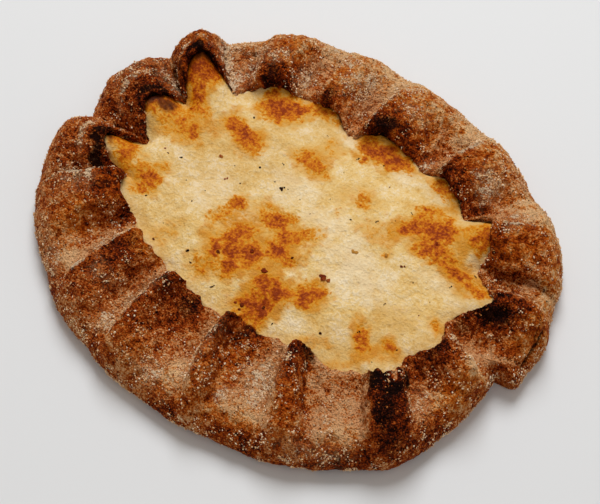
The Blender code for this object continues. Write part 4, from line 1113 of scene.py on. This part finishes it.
view = {
    "elevation": 60.0,
    "azimuth": 38.0,
    "distance": 429.0,       # mm from the target
    "lens": 108.0,
    "target": (2.738, -0.551, 0.0),
}
lamps = {
    # azimuth and elevation in degrees, distance and size in metres, watts, colour
    "window": (213.0, 52.0, 1.4, 0.8, 15.5, "#f8fbff"),
    "fill": (60.0, 60.0, 1.5, 1.2, 2.0, "#f4f6ff"),
}
room = {
    "colour": "#f2e8dc",
    "strength": 0.36,
    "floorSize": 3.0,        # half of it, in metres
    "table": {"Base Color": toLinear("#e3e4e4"), "Roughness": 0.6},  # painted board, pale and matt
}


def outlook(azimuth, elevation):  # direction from the middle of the object, and the turn that looks back
    e, a = math.radians(elevation), math.radians(azimuth)
    away = np.array([math.sin(a) * math.cos(e), -math.cos(a) * math.cos(e), math.sin(e)])
    return away, (math.pi / 2.0 - e, 0.0, a)


def placeCamera():
    away, turn = outlook(view["azimuth"], view["elevation"])
    data = bpy.data.cameras.new("view")
    data.lens = view["lens"]
    data.sensor_width = 36.0
    data.clip_start = 0.01
    camera = bpy.data.objects.new("view", data)
    camera.location = (np.array(view["target"]) + centreShift + away * view["distance"]) * mm
    camera.rotation_euler = turn
    bpy.context.scene.collection.objects.link(camera)
    bpy.context.scene.camera = camera


def areaLight(name, azimuth, elevation, distance, size, power, colour):
    away, turn = outlook(azimuth, elevation)
    data = bpy.data.lights.new(name, "AREA")
    data.shape = "DISK"
    data.size = size
    data.energy = power
    data.color = toLinear(colour)[:3]
    lamp = bpy.data.objects.new(name, data)
    lamp.location = away * distance
    lamp.rotation_euler = turn
    bpy.context.scene.collection.objects.link(lamp)


def buildStage():
    size = room["floorSize"]
    points = np.array([(-size, -size, 0.0), (size, -size, 0.0), (size, size, 0.0), (-size, size, 0.0)])
    floor = makeMesh("studio_floor", points, [np.array([[0, 1, 2, 3]])])
    floor.data.materials.append(newMaterial("pale_matt_table", room["table"])[0])
    world = bpy.data.worlds.new("soft_room")
    world.use_nodes = True
    sky = world.node_tree.nodes["Background"]
    sky.inputs["Color"].default_value = toLinear(room["colour"])
    sky.inputs["Strength"].default_value = room["strength"]
    bpy.context.scene.world = world
    for name, lamp in lamps.items():
        areaLight(name, *lamp)


crust, crustFields = buildCrust()
crust.data.materials.append(ryeMaterial())
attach(crust, "root")
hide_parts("crust")
print("crust", len(crust.data.vertices), "points")

filling, fillingPoints = buildFilling()
filling.data.materials.append(porridgeMaterial())
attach(filling, "root")
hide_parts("filling")
print("filling", len(filling.data.vertices), "points")

flour = scatter("flour_grains", crustFields, grainKinds["flour"])
flour.data.materials.append(dustMaterial("rye_flour"))
crumbs = scatter("bran_crumbs", crustFields, grainKinds["bran"])
crumbs.data.materials.append(dustMaterial("toasted_bran"))
specks = placeSpecks("filling_specks", fillingPoints)
specks.data.materials.append(dustMaterial("browned_specks"))
for piece, slot in ((flour, "rye_crust"), (crumbs, "rye_crust"), (specks, "rice_filling")):
    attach(piece, "root")
    print(piece.name, len(piece.data.polygons), "faces")

buildStage()
placeCamera()
bpy.context.scene.view_settings.view_transform = "Standard"
print("stage, light and camera placed")
